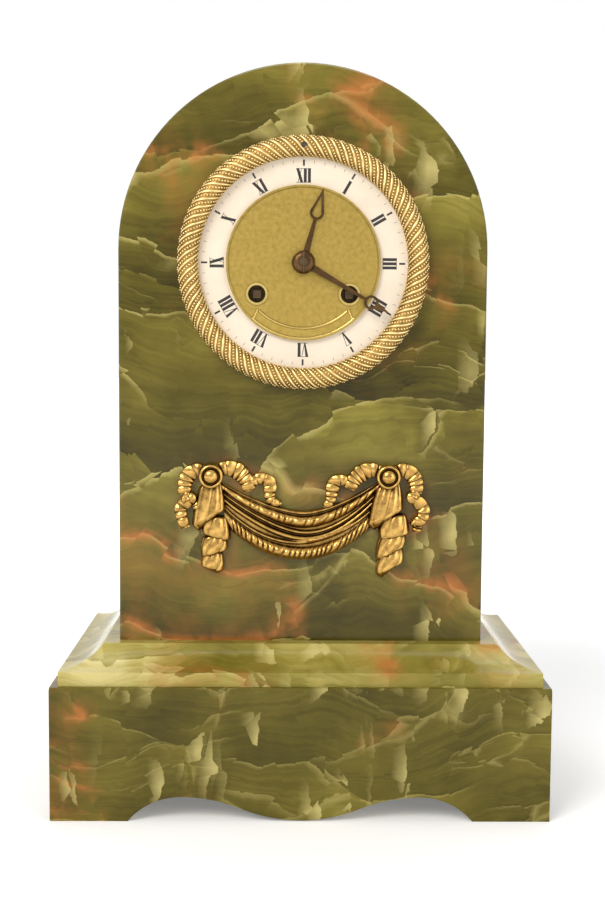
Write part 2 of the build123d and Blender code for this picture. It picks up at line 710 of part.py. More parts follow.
def barrel(at, phase):
    """Spring barrel: toothed great wheel and closed drum turning on its arbor."""
    toothed(GREAT_TEETH, GREAT_MODULE, phase, great_s, drum_s, *at)
    disc(DRUM_R, drum_s, drum_s + DRUM_L, *at)
    disc(DRUM_R - 3, drum_s + DRUM_L - 0.8, drum_s + DRUM_L + 1, *at, mode=Mode.SUBTRACT)
    disc(WINDING_ARBOR_R + RUN, 0, BACK_PLATE_S, *at, mode=Mode.SUBTRACT)


def winding_arbor(at):
    """Arbor with a ratchet wheel and a square for the key."""
    corners = []
    for tooth in range(RATCHET_TEETH):
        corners.append(polar(RATCHET_R, tooth * 360 / RATCHET_TEETH))
        corners.append(polar(RATCHET_R - 1.1, (tooth + 0.1) * 360 / RATCHET_TEETH))
    with BuildSketch(dial_plane(ratchet_s + RATCHET_T, *at)) as ratchet:
        with BuildLine():
            Polyline(*corners, close=True)
        make_face()
    extrude(ratchet.sketch, amount=RATCHET_T)
    with BuildSketch(dial_plane(ratchet_s, *at)) as square:
        Rectangle(WINDING_SQUARE, WINDING_SQUARE)
    extrude(square.sketch, amount=ratchet_s - WINDING_TIP_S)
    disc(WINDING_ARBOR_R, ratchet_s + RATCHET_T, BACK_PLATE_S - RUN, *at)
    disc(WINDING_PIVOT_R, BACK_PLATE_S - 1, PLATE_BACK_S, *at)


with BuildPart() as going_barrel:
    barrel(going_at, going_phase)
save(going_barrel, "going_barrel")

with BuildPart() as strike_barrel:
    barrel(strike_at, strike_phase)
save(strike_barrel, "strike_barrel")

with BuildPart() as going_winding_arbor:
    winding_arbor(going_at)
save(going_winding_arbor, "going_winding_arbor")

with BuildPart() as strike_winding_arbor:
    winding_arbor(strike_at)
save(strike_winding_arbor, "strike_winding_arbor")

with BuildPart() as ratchet_clicks:
    for side in (-1, 1):
        x = side * WINDING_X
        with BuildSketch(dial_plane(PLATE_S)) as click:
            with BuildLine():
                Polyline(
                    (x + side * 7.6, WINDING_Z + RATCHET_R + 4.4),
                    (x + side * 3.4, WINDING_Z + RATCHET_R + 3.0),
                    (x + side * 0.4, WINDING_Z + RATCHET_R + CLICK_CLEAR),
                    (x + side * 1.4, WINDING_Z + RATCHET_R + CLICK_CLEAR),
                    (x + side * 8.2, WINDING_Z + RATCHET_R + 1.6),
                    close=True,
                )
            make_face()
        extrude(click.sketch, amount=PLATE_S - ratchet_s)
save(ratchet_clicks, "ratchet_clicks")

# Going train and strike train
second_phase = mesh_phase(going_at, GREAT_TEETH, going_phase, second_at, GREAT_PINION)
centre_phase = mesh_phase(second_at, SECOND_TEETH, second_phase, (0, 0), CENTRE_PINION)
third_phase = mesh_phase((0, 0), CENTRE_TEETH, centre_phase, third_at, THIRD_PINION)
escape_phase = mesh_phase(third_at, THIRD_TEETH, third_phase, escape_at, ESCAPE_PINION)
strike_second_phase = mesh_phase(strike_at, GREAT_TEETH, strike_phase, strike_second_at, GREAT_PINION)
pin_phase = mesh_phase(strike_second_at, STRIKE_TEETH, strike_second_phase, pin_at, PIN_PINION)


def crossed_wheel(teeth, module, phase, s_front, at):
    """Thin train wheel with four crossings."""
    rim_r = teeth * module / 2 - 1.5 * module - 1.2
    toothed(teeth, module, phase, s_front, s_front + WHEEL_T, *at)
    cross_out(rim_r, 2.4, 1.5, s_front - 1, s_front + WHEEL_T + 1, *at)


with BuildPart() as second_wheel:
    leaf_s = great_s - PINION_LEAD
    toothed(GREAT_PINION, GREAT_MODULE, second_phase, leaf_s, leaf_s + GREAT_PINION_L, *second_at)
    crossed_wheel(SECOND_TEETH, SECOND_MODULE, second_phase, second_wheel_s, second_at)
    arbor(*second_at)
save(second_wheel, "second_wheel")

with BuildPart() as centre_wheel:
    leaf_s = second_wheel_s - PINION_LEAD
    toothed(CENTRE_PINION, SECOND_MODULE, centre_phase, leaf_s, leaf_s + PINION_L, 0, 0)
    crossed_wheel(CENTRE_TEETH, CENTRE_MODULE, centre_phase, centre_wheel_s, (0, 0))
    arbor(0, 0)
    disc(CENTRE_POST_R, -6.0, leaf_s)
save(centre_wheel, "centre_wheel")

with BuildPart() as third_wheel:
    leaf_s = centre_wheel_s - PINION_LEAD
    toothed(THIRD_PINION, CENTRE_MODULE, third_phase, leaf_s, leaf_s + PINION_L, *third_at)
    crossed_wheel(THIRD_TEETH, CENTRE_MODULE, third_phase, third_wheel_s, third_at)
    arbor(*third_at)
save(third_wheel, "third_wheel")

with BuildPart() as escape_wheel:
    leaf_s = third_wheel_s - PINION_LEAD
    toothed(ESCAPE_PINION, CENTRE_MODULE, escape_phase, leaf_s, leaf_s + PINION_L, *escape_at)
    corners = []
    for tooth in range(ESCAPE_TEETH):
        corners.append(polar(ESCAPE_R, tooth * 360 / ESCAPE_TEETH))
        corners.append(polar(ESCAPE_R - 1.3, (tooth + 0.25) * 360 / ESCAPE_TEETH))
    with BuildSketch(dial_plane(escape_s + WHEEL_T, *escape_at)):
        with BuildLine():
            Polyline(*corners, close=True)
        make_face()
    extrude(amount=WHEEL_T)
    cross_out(ESCAPE_R - 2.3, 2.0, 1.2, escape_s - 1, escape_s + WHEEL_T + 1, *escape_at)
    arbor(*escape_at)
save(escape_wheel, "escape_wheel")

with BuildPart() as strike_second_wheel:
    leaf_s = great_s - PINION_LEAD
    leaf_end = leaf_s + GREAT_PINION_L
    toothed(GREAT_PINION, GREAT_MODULE, strike_second_phase, leaf_s, leaf_end, *strike_second_at)
    crossed_wheel(STRIKE_TEETH, STRIKE_MODULE, strike_second_phase, second_wheel_s, strike_second_at)
    arbor(*strike_second_at)
save(strike_second_wheel, "strike_second_wheel")

with BuildPart() as pin_wheel:
    leaf_s = second_wheel_s - PINION_LEAD
    toothed(PIN_PINION, STRIKE_MODULE, pin_phase, leaf_s, leaf_s + PINION_L, *pin_at)
    crossed_wheel(PIN_WHEEL_TEETH, STRIKE_MODULE, pin_phase, pin_wheel_s, pin_at)
    with BuildSketch(dial_plane(pin_wheel_s + WHEEL_T + PIN_L, *pin_at)):
        with PolarLocations(PIN_WHEEL_TEETH * STRIKE_MODULE / 2 - 1.2, PIN_COUNT):
            Circle(PIN_R)
    extrude(amount=PIN_L)
    arbor(*pin_at)
save(pin_wheel, "pin_wheel")

# Escapement anchor, crutch and pendulum
crutch_s = PLATE_BACK_S + 1.0
with BuildPart() as pallet_anchor:
    with BuildSketch(dial_plane(escape_s + WHEEL_T + 0.3, *pallet_at)):
        Polygon(
            (-6.8, -5.0), (-5.5, -4.4), (0, -1.8), (5.5, -4.4),
            (6.8, -5.0), (6.9, -3.9), (0, 1.9), (-6.9, -3.9),
            align=None,
        )
    extrude(amount=WHEEL_T + 0.6)
    arbor(*pallet_at, s_back=crutch_s + 0.5)
    with BuildSketch(dial_plane(crutch_s + CRUTCH_T, *pallet_at)):
        with Locations((0, -CRUTCH_L / 2)):
            Rectangle(1.6, CRUTCH_L + 2)
        with Locations((0, -CRUTCH_L)):
            Rectangle(2 * FORK_X, 2)
    extrude(amount=CRUTCH_T)
    with BuildSketch(dial_plane(PENDULUM_S + ROD_R + 0.5, *pallet_at)):
        for side in (-1, 1):
            with Locations((side * (FORK_X - FORK_T / 2), -CRUTCH_L)):
                Rectangle(FORK_T, 2)
    extrude(amount=PENDULUM_S + ROD_R + 0.5 - crutch_s)
save(pallet_anchor, "pallet_anchor")

with BuildPart() as suspension_cock:
    with BuildSketch(dial_plane(PENDULUM_S + EYE_HALF + 1.8, *pallet_at)):
        with Locations((0, 6.0)):
            Rectangle(6, 5)
    extrude(amount=PENDULUM_S + EYE_HALF + 1.8 - PLATE_BACK_S)
    for s in (PENDULUM_S - EYE_HALF - 0.3, PENDULUM_S + EYE_HALF + 1.8):
        with BuildSketch(dial_plane(s, *pallet_at)):
            with Locations((0, 3.0)):
                Rectangle(4.8, 11)
        extrude(amount=1.5)
    disc(SUSPENSION_PIN_R, PENDULUM_S - EYE_HALF - 1, PENDULUM_S + EYE_HALF + 1, *pallet_at)
    with BuildSketch(dial_plane(PLATE_BACK_S + 1.6, *pallet_at)):
        with Locations((0, 6.5)):
            Rectangle(16, 6)
    extrude(amount=1.6)
save(suspension_cock, "suspension_cock")

rod_end_z = CASE_BOTTOM + PENDULUM_FLOOR_GAP
bob_z = rod_end_z + ROD_TAIL + NUT_H + BOB_R
pendulum_y = CASE_FRONT + PENDULUM_S
with BuildPart() as pendulum_rod:
    disc(EYE_R, PENDULUM_S - EYE_HALF, PENDULUM_S + EYE_HALF, *pallet_at)
    with BuildSketch(Plane.XY.offset(rod_end_z)):
        with Locations((0, pendulum_y)):
            Circle(ROD_R)
    extrude(amount=DIAL_Z + PALLET_Z - rod_end_z)
    disc(SUSPENSION_PIN_R + RUN, 0, CASE_D, *pallet_at, mode=Mode.SUBTRACT)
save(pendulum_rod, "pendulum_rod")

with BuildPart() as pendulum_bob:
    with BuildSketch(Plane(origin=(0, pendulum_y, bob_z), x_dir=(1, 0, 0), z_dir=(0, 0, 1))):
        with BuildLine():
            ThreePointArc((0, -BOB_T / 2), (BOB_R * 0.6, -BOB_T * 0.38), (BOB_R, -0.8))
            Line((BOB_R, -0.8), (BOB_R, 0.8))
            ThreePointArc((BOB_R, 0.8), (BOB_R * 0.6, BOB_T * 0.38), (0, BOB_T / 2))
            Line((0, BOB_T / 2), (0, -BOB_T / 2))
        make_face()
    revolve(axis=Axis((0, 0, bob_z), (0, 1, 0)))
    with Locations((0, pendulum_y, bob_z)):
        Cylinder(ROD_R + FIT, 3 * BOB_R, mode=Mode.SUBTRACT)
save(pendulum_bob, "pendulum_bob")

with BuildPart() as rating_nut:
    with BuildSketch(Plane.XY.offset(bob_z - BOB_R - NUT_H)):
        with Locations((0, pendulum_y)):
            RegularPolygon(NUT_R, 12)
            Circle(ROD_R + FIT, mode=Mode.SUBTRACT)
    extrude(amount=NUT_H)
save(rating_nut, "rating_nut")

# Bell on its post, and the hammer beside its rim
bell_at = (BELL_X, BELL_Z)
bell_top_s = BELL_RIM_S + BELL_DEPTH
with BuildPart() as bell:
    bell_axis = (BELL_X, CASE_FRONT, DIAL_Z + BELL_Z)
    with BuildSketch(Plane(origin=bell_axis, x_dir=(1, 0, 0), z_dir=(0, 0, 1))):
        with BuildLine():
            inner_r = BELL_R - BELL_WALL
            crown = (BELL_R * 0.3, bell_top_s)
            ThreePointArc((BELL_R, BELL_RIM_S), (BELL_R * 0.82, bell_top_s - 3.4), crown)
            Line(crown, (BELL_STUD_R + RUN, bell_top_s))
            Line((BELL_STUD_R + RUN, bell_top_s), (BELL_STUD_R + RUN, bell_top_s - BELL_WALL))
            Line((BELL_STUD_R + RUN, bell_top_s - BELL_WALL), (BELL_R * 0.3, bell_top_s - BELL_WALL))
            ThreePointArc(
                (BELL_R * 0.3, bell_top_s - BELL_WALL),
                (inner_r * 0.82, bell_top_s - 3.4 - BELL_WALL),
                (inner_r, BELL_RIM_S),
            )
            Line((inner_r, BELL_RIM_S), (BELL_R, BELL_RIM_S))
        make_face()
    revolve(axis=Axis((BELL_X, 0, DIAL_Z + BELL_Z), (0, 1, 0)))
save(bell, "bell")

with BuildPart() as bell_stand:
    disc(BELL_STUD_R * 2.4, PLATE_BACK_S, PLATE_BACK_S + 1.5, *bell_at)
    disc(BELL_STUD_R * 1.4, PLATE_BACK_S, bell_top_s - BELL_WALL, *bell_at)
    disc(BELL_STUD_R, PLATE_BACK_S, bell_top_s + NUT_H, *bell_at)
save(bell_stand, "bell_stand")

with BuildPart() as bell_nut:
    with BuildSketch(dial_plane(bell_top_s + NUT_H - 0.5, *bell_at)):
        RegularPolygon(NUT_R, 8)
        Circle(BELL_STUD_R + FIT, mode=Mode.SUBTRACT)
    extrude(amount=NUT_H - 0.5)
save(bell_nut, "bell_nut")

head_x, head_z = polar(BELL_R + HAMMER_HEAD_R + HAMMER_CLEAR, 160)
head_at = (BELL_X + head_x, BELL_Z + head_z)
hammer_arm_s = PLATE_BACK_S + 1.2
with BuildPart() as hammer:
    arbor(*hammer_at, s_back=hammer_arm_s + 1)
    disc(2.2, hammer_arm_s, hammer_arm_s + HAMMER_ARM_T, *hammer_at)
    with BuildSketch(dial_plane(hammer_arm_s + HAMMER_ARM_T)):
        with BuildLine():
            Line(hammer_at, head_at)
        trace(line_width=HAMMER_ARM_W)
    extrude(amount=HAMMER_ARM_T)
    disc(HAMMER_HEAD_R, hammer_arm_s, BELL_RIM_S + 4, *head_at)
save(hammer, "hammer")

# Rear ring, hinged door and the straps that draw dial and ring together
hinge_s = CASE_D + RING_T + KNUCKLE_R + DOOR_GAP
door_s = CASE_D + RING_T + DOOR_GAP
strap_screw_x = STRAP_X + STRAP_T / 2
screw_seat_s = CASE_D + RING_T - SCREW_HEAD_T
hinge_origin = (HINGE_X, CASE_FRONT + hinge_s)


def hinge_slice(radius, z_low, z_high, mode=Mode.ADD):
    """Upright round slice on the hinge axis."""
    with BuildSketch(Plane.XY.offset(DIAL_Z + z_low)) as ring:
        with Locations(hinge_origin):
            Circle(radius)
    extrude(ring.sketch, amount=z_high - z_low, mode=mode)


with BuildPart() as rear_ring:
    disc(RING_R, CASE_D, CASE_D + RING_T)
    disc(RING_INNER_R, 0, 2 * CASE_D, mode=Mode.SUBTRACT)
    for side in (-1, 1):
        disc(STRAP_SCREW_R + RUN, 0, 2 * CASE_D, side * strap_screw_x, 0, mode=Mode.SUBTRACT)
        disc(SCREW_HEAD_R + RUN, screw_seat_s, 2 * CASE_D, side * strap_screw_x, 0, mode=Mode.SUBTRACT)
    for low in (KNUCKLE_L / 2 + 0.3, -1.5 * KNUCKLE_L - 0.3):
        hinge_slice(KNUCKLE_R, low, low + KNUCKLE_L)
        with BuildSketch(dial_plane(hinge_s, HINGE_X, low + KNUCKLE_L / 2)):
            Rectangle(2 * KNUCKLE_R - 1, KNUCKLE_L)
        extrude(amount=hinge_s - CASE_D - RING_T)
    hinge_slice(HINGE_PIN_R + FIT, -2 * KNUCKLE_L, 2 * KNUCKLE_L, mode=Mode.SUBTRACT)
save(rear_ring, "rear_ring")

with BuildPart() as rear_door:
    disc(DOOR_R, door_s, door_s + DOOR_T)
    with BuildSketch(dial_plane(door_s + DOOR_T)):
        Circle(DOOR_R - 1.0)
        Circle(DOOR_R - 1.0 - DOOR_RIM, mode=Mode.SUBTRACT)
    extrude(amount=-0.8)
    with BuildSketch(dial_plane(door_s + DOOR_T)):
        with Locations(((HINGE_X - DOOR_R) / 2, 0)):
            Rectangle(abs(HINGE_X) - DOOR_R + 2, KNUCKLE_L)
    extrude(amount=DOOR_T)
    hinge_slice(KNUCKLE_R, -KNUCKLE_L / 2, KNUCKLE_L / 2)
    hinge_slice(HINGE_PIN_R + RUN, -KNUCKLE_L, KNUCKLE_L, mode=Mode.SUBTRACT)
    disc(KNOB_SHANK_R + FIT, 0, 2 * CASE_D, KNOB_X, 0, mode=Mode.SUBTRACT)
save(rear_door, "rear_door")

with BuildPart() as hinge_pin:
    hinge_slice(HINGE_PIN_R, -1.5 * KNUCKLE_L - 0.8, 1.5 * KNUCKLE_L + 0.8)
save(hinge_pin, "hinge_pin")

with BuildPart() as door_knob:
    disc(KNOB_SHANK_R, door_s, door_s + DOOR_T + 3.0, KNOB_X, 0)
    disc(KNOB_SHANK_R * 2.4, door_s + DOOR_T + 2.5, door_s + DOOR_T + 6.5, KNOB_X, 0)
    fillet(door_knob.edges().filter_by(GeomType.CIRCLE).sort_by(Axis.Y)[-1], 1.6)
save(door_knob, "door_knob")

with BuildPart() as movement_straps:
    for side in (-1, 1):
        with BuildSketch(dial_plane(CASE_D, side * strap_screw_x)) as bar:
            Rectangle(STRAP_T, STRAP_W)
        extrude(bar.sketch, amount=CASE_D - DIAL_PLATE_T)
        with BuildSketch(dial_plane(CASE_D, side * (strap_screw_x - 0.2))) as lug:
            Rectangle(STRAP_LUG, STRAP_W)
        extrude(lug.sketch, amount=8)
        with BuildSketch(dial_plane(DIAL_PLATE_T + STRAP_T, side * (STRAP_X - 2.5))) as foot:
            Rectangle(6, STRAP_W)
        extrude(foot.sketch, amount=STRAP_T)
        disc(STRAP_SCREW_R + FIT, CASE_D - 7, 2 * CASE_D, side * strap_screw_x, 0, mode=Mode.SUBTRACT)
save(movement_straps, "movement_straps")

with BuildPart() as strap_screws:
    for side in (-1, 1):
        disc(STRAP_SCREW_R, CASE_D - 6.5, CASE_D + RING_T - 1, side * strap_screw_x, 0)
        disc(SCREW_HEAD_R, screw_seat_s, CASE_D + RING_T, side * strap_screw_x, 0)
save(strap_screws, "strap_screws")

# Gilt drapery: swag, bows and tails held by two rosettes
swag_half = ROSETTE_X - ROSETTE_STEM_R - SWAG_END_W / 2 - MOUNT_GAP
swag_mid_z = (SWAG_TOP_Z + SWAG_BOTTOM_Z) / 2
swag_end_z = ROSETTE_Z - 1.5
fold_profile = (
    (-0.5, 0.0), (-0.5, 0.45), (-0.4, 0.9), (-0.27, 0.5), (-0.12, 1.0),
    (0.04, 0.55), (0.2, 0.95), (0.34, 0.5), (0.44, 0.75), (0.5, 0.4), (0.5, 0.0),
)


def swag_section(t):
    """Cut across the swag at t from -1 to 1: flat back and ridged folds in front."""
    belly = 1 - t * t
    width = SWAG_END_W + (SWAG_TOP_Z - SWAG_BOTTOM_Z - SWAG_END_W) * belly
    depth = SWAG_END_DEPTH + (SWAG_DEPTH - SWAG_END_DEPTH) * belly
    slope = 2 * (swag_end_z - swag_mid_z) * t / swag_half
    length = math.hypot(1, slope)
    middle_z = swag_mid_z + (swag_end_z - swag_mid_z) * t * t
    corners = []
    for across, proud in fold_profile:
        x = t * swag_half - across * width * slope / length
        z = middle_z + across * width / length
        corners.append(Vector(x, CASE_FRONT - proud * depth, z))
    return Face(Wire.make_polygon(corners))


with BuildPart() as drapery_swag:
    stations = [2 * index / (SWAG_STATIONS - 1) - 1 for index in range(SWAG_STATIONS)]
    loft([swag_section(t) for t in stations], ruled=True)
save(drapery_swag, "drapery_swag")

outer_loop = (
    (6.2, 1.4), (9.0, 2.6), (11.9, 0.9), (13.5, -3.2), (13.4, -8.0),
    (12.6, -11.6), (14.4, -15.4), (14.2, -19.6), (12.4, -23.6),
)
inner_loop = ((-4.6, 4.4), (-8.0, 6.2), (-12.4, 5.6), (-16.4, 2.6), (-18.4, -1.6))
end_loop = ((-18.6, -1.0), (-20.6, 1.8), (-24.0, 2.0), (-26.6, -0.8), (-26.8, -5.0), (-29.8, -8.4))
for side, name in ((-1, "left_ribbon_bow"), (1, "right_ribbon_bow")):
    with BuildPart() as ribbon_bow:
        for loop in (outer_loop, inner_loop, end_loop):
            with BuildSketch(front_plane(0)):
                with BuildLine():
                    Spline(*[(side * (ROSETTE_X + dx), ROSETTE_Z + dz) for dx, dz in loop])
                trace(line_width=RIBBON_W)
            extrude(amount=RIBBON_DEPTH)
    save(ribbon_bow, name)

tail_top_z = ROSETTE_Z - ROSETTE_STEM_R - MOUNT_GAP
cuff_h = (tail_top_z - TAIL_BOTTOM_Z) / TAIL_CUFFS
for side, name in ((-1, "left_drapery_tail"), (1, "right_drapery_tail")):
    tail_x = side * (ROSETTE_X + TAIL_SHIFT)
    with BuildPart() as drapery_tail:
        with BuildSketch(Plane(origin=(tail_x, CASE_FRONT, 0), x_dir=(-1, 0, 0), z_dir=(0, 1, 0))):
            with BuildLine():
                edge = [(0, tail_top_z)]
                for cuff in range(TAIL_CUFFS):
                    shrink = 1 - 0.6 * cuff / TAIL_CUFFS
                    edge.append((0.62 * TAIL_R * shrink, tail_top_z - cuff * cuff_h))
                    edge.append((TAIL_R * shrink, tail_top_z - (cuff + 1) * cuff_h + 0.6))
                edge.append((0.8, TAIL_BOTTOM_Z))
                edge.append((0, TAIL_BOTTOM_Z))
                Polyline(*edge, close=True)
            make_face()
        revolve(axis=Axis((tail_x, CASE_FRONT, 0), (0, 0, 1)), revolution_arc=180)
    save(drapery_tail, name)

rosette_spots = [(-ROSETTE_X, ROSETTE_Z - DIAL_Z), (ROSETTE_X, ROSETTE_Z - DIAL_Z)]
with BuildPart() as rosettes:
    for at in rosette_spots:
        rim_s = ROSETTE_DOME - ROSETTE_H
        groove_s = rim_s + ROSETTE_GROOVE_W
        disc(ROSETTE_R, rim_s, -RIBBON_DEPTH - MOUNT_GAP, *at)
        disc(ROSETTE_DOME_R + ROSETTE_GROOVE_W, rim_s, groove_s, *at, mode=Mode.SUBTRACT)
        disc(ROSETTE_DOME_R, -ROSETTE_H, groove_s, *at)
        disc(ROSETTE_STEM_R, -RIBBON_DEPTH - 1, 0, *at)
        disc(ROSETTE_STUD_R, -1, FRONT_SLAB_T + STUD_NUT_T + 1, *at)
    dome_edges = rosettes.edges().filter_by(GeomType.CIRCLE).sort_by(Axis.Y)[:2]
    fillet(dome_edges, 0.9 * ROSETTE_DOME)
save(rosettes, "rosettes")

with BuildPart() as stud_nuts:
    for at in rosette_spots:
        with BuildSketch(dial_plane(FRONT_SLAB_T + STUD_NUT_T, *at)) as nut:
            RegularPolygon(NUT_R, 6)
            Circle(ROSETTE_STUD_R + FIT, mode=Mode.SUBTRACT)
        extrude(nut.sketch, amount=STUD_NUT_T)
save(stud_nuts, "stud_nuts")
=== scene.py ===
import bpy
import math
from mathutils import Matrix, Vector


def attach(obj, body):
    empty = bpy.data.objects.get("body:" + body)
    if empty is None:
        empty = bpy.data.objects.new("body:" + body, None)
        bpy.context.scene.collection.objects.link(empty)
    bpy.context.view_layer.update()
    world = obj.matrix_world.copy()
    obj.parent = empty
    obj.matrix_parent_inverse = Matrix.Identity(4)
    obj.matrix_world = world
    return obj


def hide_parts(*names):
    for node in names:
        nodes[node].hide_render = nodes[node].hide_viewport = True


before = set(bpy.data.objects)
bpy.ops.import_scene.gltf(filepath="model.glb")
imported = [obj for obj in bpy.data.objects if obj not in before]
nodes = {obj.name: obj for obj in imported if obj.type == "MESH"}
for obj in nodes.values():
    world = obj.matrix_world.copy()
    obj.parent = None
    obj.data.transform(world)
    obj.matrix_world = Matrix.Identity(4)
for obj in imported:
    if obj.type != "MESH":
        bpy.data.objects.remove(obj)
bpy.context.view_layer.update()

MM = 0.001


def node_box(name):
    """Low and high corner of a CAD node, in millimetres."""
    obj = nodes[name]
    corners = [obj.matrix_world @ Vector(corner) for corner in obj.bound_box]
    low = [round(min(corner[axis] for corner in corners) / MM, 2) for axis in range(3)]
    high = [round(max(corner[axis] for corner in corners) / MM, 2) for axis in range(3)]
    return low, high


CASE_FRONT = node_box("case_front")[0][1]
ring_low, ring_high = node_box("chapter_ring")
DIAL_Z = round((ring_low[2] + ring_high[2]) / 2, 1)


# Node helpers
def new_material(name):
    """Empty Principled material and its tree and shader."""
    mat = bpy.data.materials.new(name)
    mat.use_nodes = True
    tree = mat.node_tree
    return mat, tree, tree.nodes["Principled BSDF"]


def put(tree, kind, values=None, **settings):
    """Add a node; values maps input names or numbers to constants or sockets."""
    node = tree.nodes.new(kind)
    for key, value in settings.items():
        setattr(node, key, value)
    for key, value in (values or {}).items():
        if isinstance(value, bpy.types.NodeSocket):
            tree.links.new(value, node.inputs[key])
        else:
            node.inputs[key].default_value = value
    return node


def maths(tree, operation, a, b=None, c=None, clamp=False):
    """Output of a Math node."""
    values = {0: a}
    if b is not None:
        values[1] = b
    if c is not None:
        values[2] = c
    return put(tree, "ShaderNodeMath", values, operation=operation, use_clamp=clamp).outputs[0]


def product(tree, *factors):
    """Product of several values."""
    result = factors[0]
    for factor in factors[1:]:
        result = maths(tree, "MULTIPLY", result, factor)
    return result


def vmaths(tree, operation, a, b):
    """Vector output of a Vector Math node."""
    return put(tree, "ShaderNodeVectorMath", {0: a, 1: b}, operation=operation).outputs[0]


def vsum(tree, *vectors):
    """Sum of several vectors."""
    result = vectors[0]
    for vector in vectors[1:]:
        result = vmaths(tree, "ADD", result, vector)
    return result


def length(tree, vector):
    """Length of a vector."""
    return put(tree, "ShaderNodeVectorMath", {0: vector}, operation="LENGTH").outputs["Value"]


def millimetres(tree):
    """Position on the clock in millimetres."""
    coords = put(tree, "ShaderNodeTexCoord").outputs["Object"]
    return vmaths(tree, "MULTIPLY", coords, (1 / MM, 1 / MM, 1 / MM))


def noise(tree, vector, scale, detail, rough, out="Fac"):
    """Noise texture output."""
    values = {"Vector": vector, "Scale": scale, "Detail": detail, "Roughness": rough}
    return put(tree, "ShaderNodeTexNoise", values).outputs[out]


def voronoi(tree, vector, feature="F1", scale=1.0):
    """Voronoi texture node on a vector."""
    values = {"Vector": vector, "Scale": scale, "Randomness": 1.0}
    return put(tree, "ShaderNodeTexVoronoi", values, feature=feature)


def ramp(tree, fac, stops):
    """Colour ramp output; stops are (position, linear rgb)."""
    node = put(tree, "ShaderNodeValToRGB", {"Fac": fac})
    band = node.color_ramp.elements
    while len(band) < len(stops):
        band.new(0.5)
    for element, (position, colour) in zip(band, stops):
        element.position = position
        element.color = (*colour, 1.0)
    return node.outputs["Color"]


def srgb(r, g, b):
    """Linear colour of an 8-bit display colour."""
    def linear(c):
        c /= 255.0
        return c / 12.92 if c <= 0.04045 else ((c + 0.055) / 1.055) ** 2.4
    return (linear(r), linear(g), linear(b))


def blend(tree, fac, a, b):
    """Colour mix output."""
    node = put(tree, "ShaderNodeMix", {0: fac}, data_type="RGBA")
    for index, value in ((6, a), (7, b)):
        if isinstance(value, bpy.types.NodeSocket):
            tree.links.new(value, node.inputs[index])
        else:
            node.inputs[index].default_value = (*value, 1.0)
    return node.outputs[2]


def choose(tree, fac, a, b):
    """Value between a and b."""
    return put(tree, "ShaderNodeMix", {0: fac, 2: a, 3: b}, data_type="FLOAT").outputs[0]


def bump(tree, height, strength, distance):
    """Normal from a height; the distance is in millimetres."""
    values = {"Height": height, "Strength": strength, "Distance": distance * MM}
    return put(tree, "ShaderNodeBump", values).outputs["Normal"]


def centred(tree, colour, size):
    """Colour from 0 to 1 turned into a shift of up to half of size each way."""
    return vmaths(tree, "MULTIPLY", vmaths(tree, "SUBTRACT", colour, (0.5, 0.5, 0.5)), size)


def edge_mask(tree, distance, sharpness):
    """One on a cell edge, falling to nothing beside it."""
    far = maths(tree, "MULTIPLY", distance, sharpness, clamp=True)
    return maths(tree, "SUBTRACT", 1.0, far, clamp=True)


def window(tree, value, start, gain):
    """Ramp from 0 to 1 that begins at start."""
    return maths(tree, "MULTIPLY", maths(tree, "SUBTRACT", value, start), gain, clamp=True)


def inside_cell(tree, vector, cell):
    """Place within a Voronoi cell, from its middle."""
    apart = vmaths(tree, "SUBTRACT", vector, cell.outputs["Position"])
    return put(tree, "ShaderNodeSeparateXYZ", {0: apart}).outputs


def cell_chance(tree, cell):
    """Random values of a Voronoi cell."""
    return put(tree, "ShaderNodeSeparateColor", {0: cell.outputs["Color"]}).outputs


# Green onyx: cells per millimetre along x, y and z, and shifts in millimetres
WIDE_PLATES = (0.0105, 0.0105, 0.027)
SMALL_PLATES = (0.024, 0.024, 0.052)
SMALL_PLATE_CONTRAST = 0.75
SLIVER_CELLS = (0.085, 0.085, 0.034)
SILK_CELLS = (0.012, 0.012, 0.5)
CHIPS_PER_MM = 0.07
WARPS_PER_MM = 0.011
FRAYS_PER_MM = 0.22
ZONES_PER_MM = 0.013
STAINS_PER_MM = 0.016
CLOUDS_PER_MM = 0.02
PATCHES_PER_MM = 0.05
WARP = (70.0, 70.0, 74.0)
JAG = (5.0, 5.0, 4.2)
FRAY = (3.2, 3.2, 2.4)
ZONE_SHIFT = (90.0, 60.0, 210.0)
RUST_SHIFT = (310.0, 40.0, 90.0)
# Windows: where a mask begins and how steeply it rises
ZONE_WINDOW = (0.5, 9.0)
STAIN_WINDOW = (0.54, 7.0)
PATCH_WINDOW = (0.38, 5.0)
UPPER_EDGE = 22.0
SEAM_EDGE = 8.0
CREST_GAIN = 5.0
RUST_STRENGTH = 0.85
RUST_AT_SEAM = 0.8
SPOT_STRENGTH = 0.36
SLIVER_STRENGTH = 0.75
SLIVER_CHANCE = 0.98
SLIVER_EDGE = 30.0
SLIVER_GLOW = 1.9
SLIVER_BASE = 0.05
SLIVER_FADE = 1.7
# Tone given by a plate's height, slant and chance, and by clouds and silk
PLATE_RISE = 0.3
PLATE_LEAN = 0.12
PLATE_CHANCE = 0.22
STONE_CLOUD = 0.62
STONE_SILK = 0.28
STONE_TONES = [
    (0.2, srgb(53, 46, 11)),
    (0.38, srgb(82, 74, 21)),
    (0.54, srgb(109, 99, 35)),
    (0.7, srgb(139, 128, 54)),
    (0.85, srgb(174, 161, 86)),
    (0.98, srgb(210, 197, 130)),
]
CREST_COLOUR = srgb(200, 186, 116)
RUST_COLOUR = srgb(182, 112, 56)
SLIVER_COLOUR = srgb(200, 186, 118)


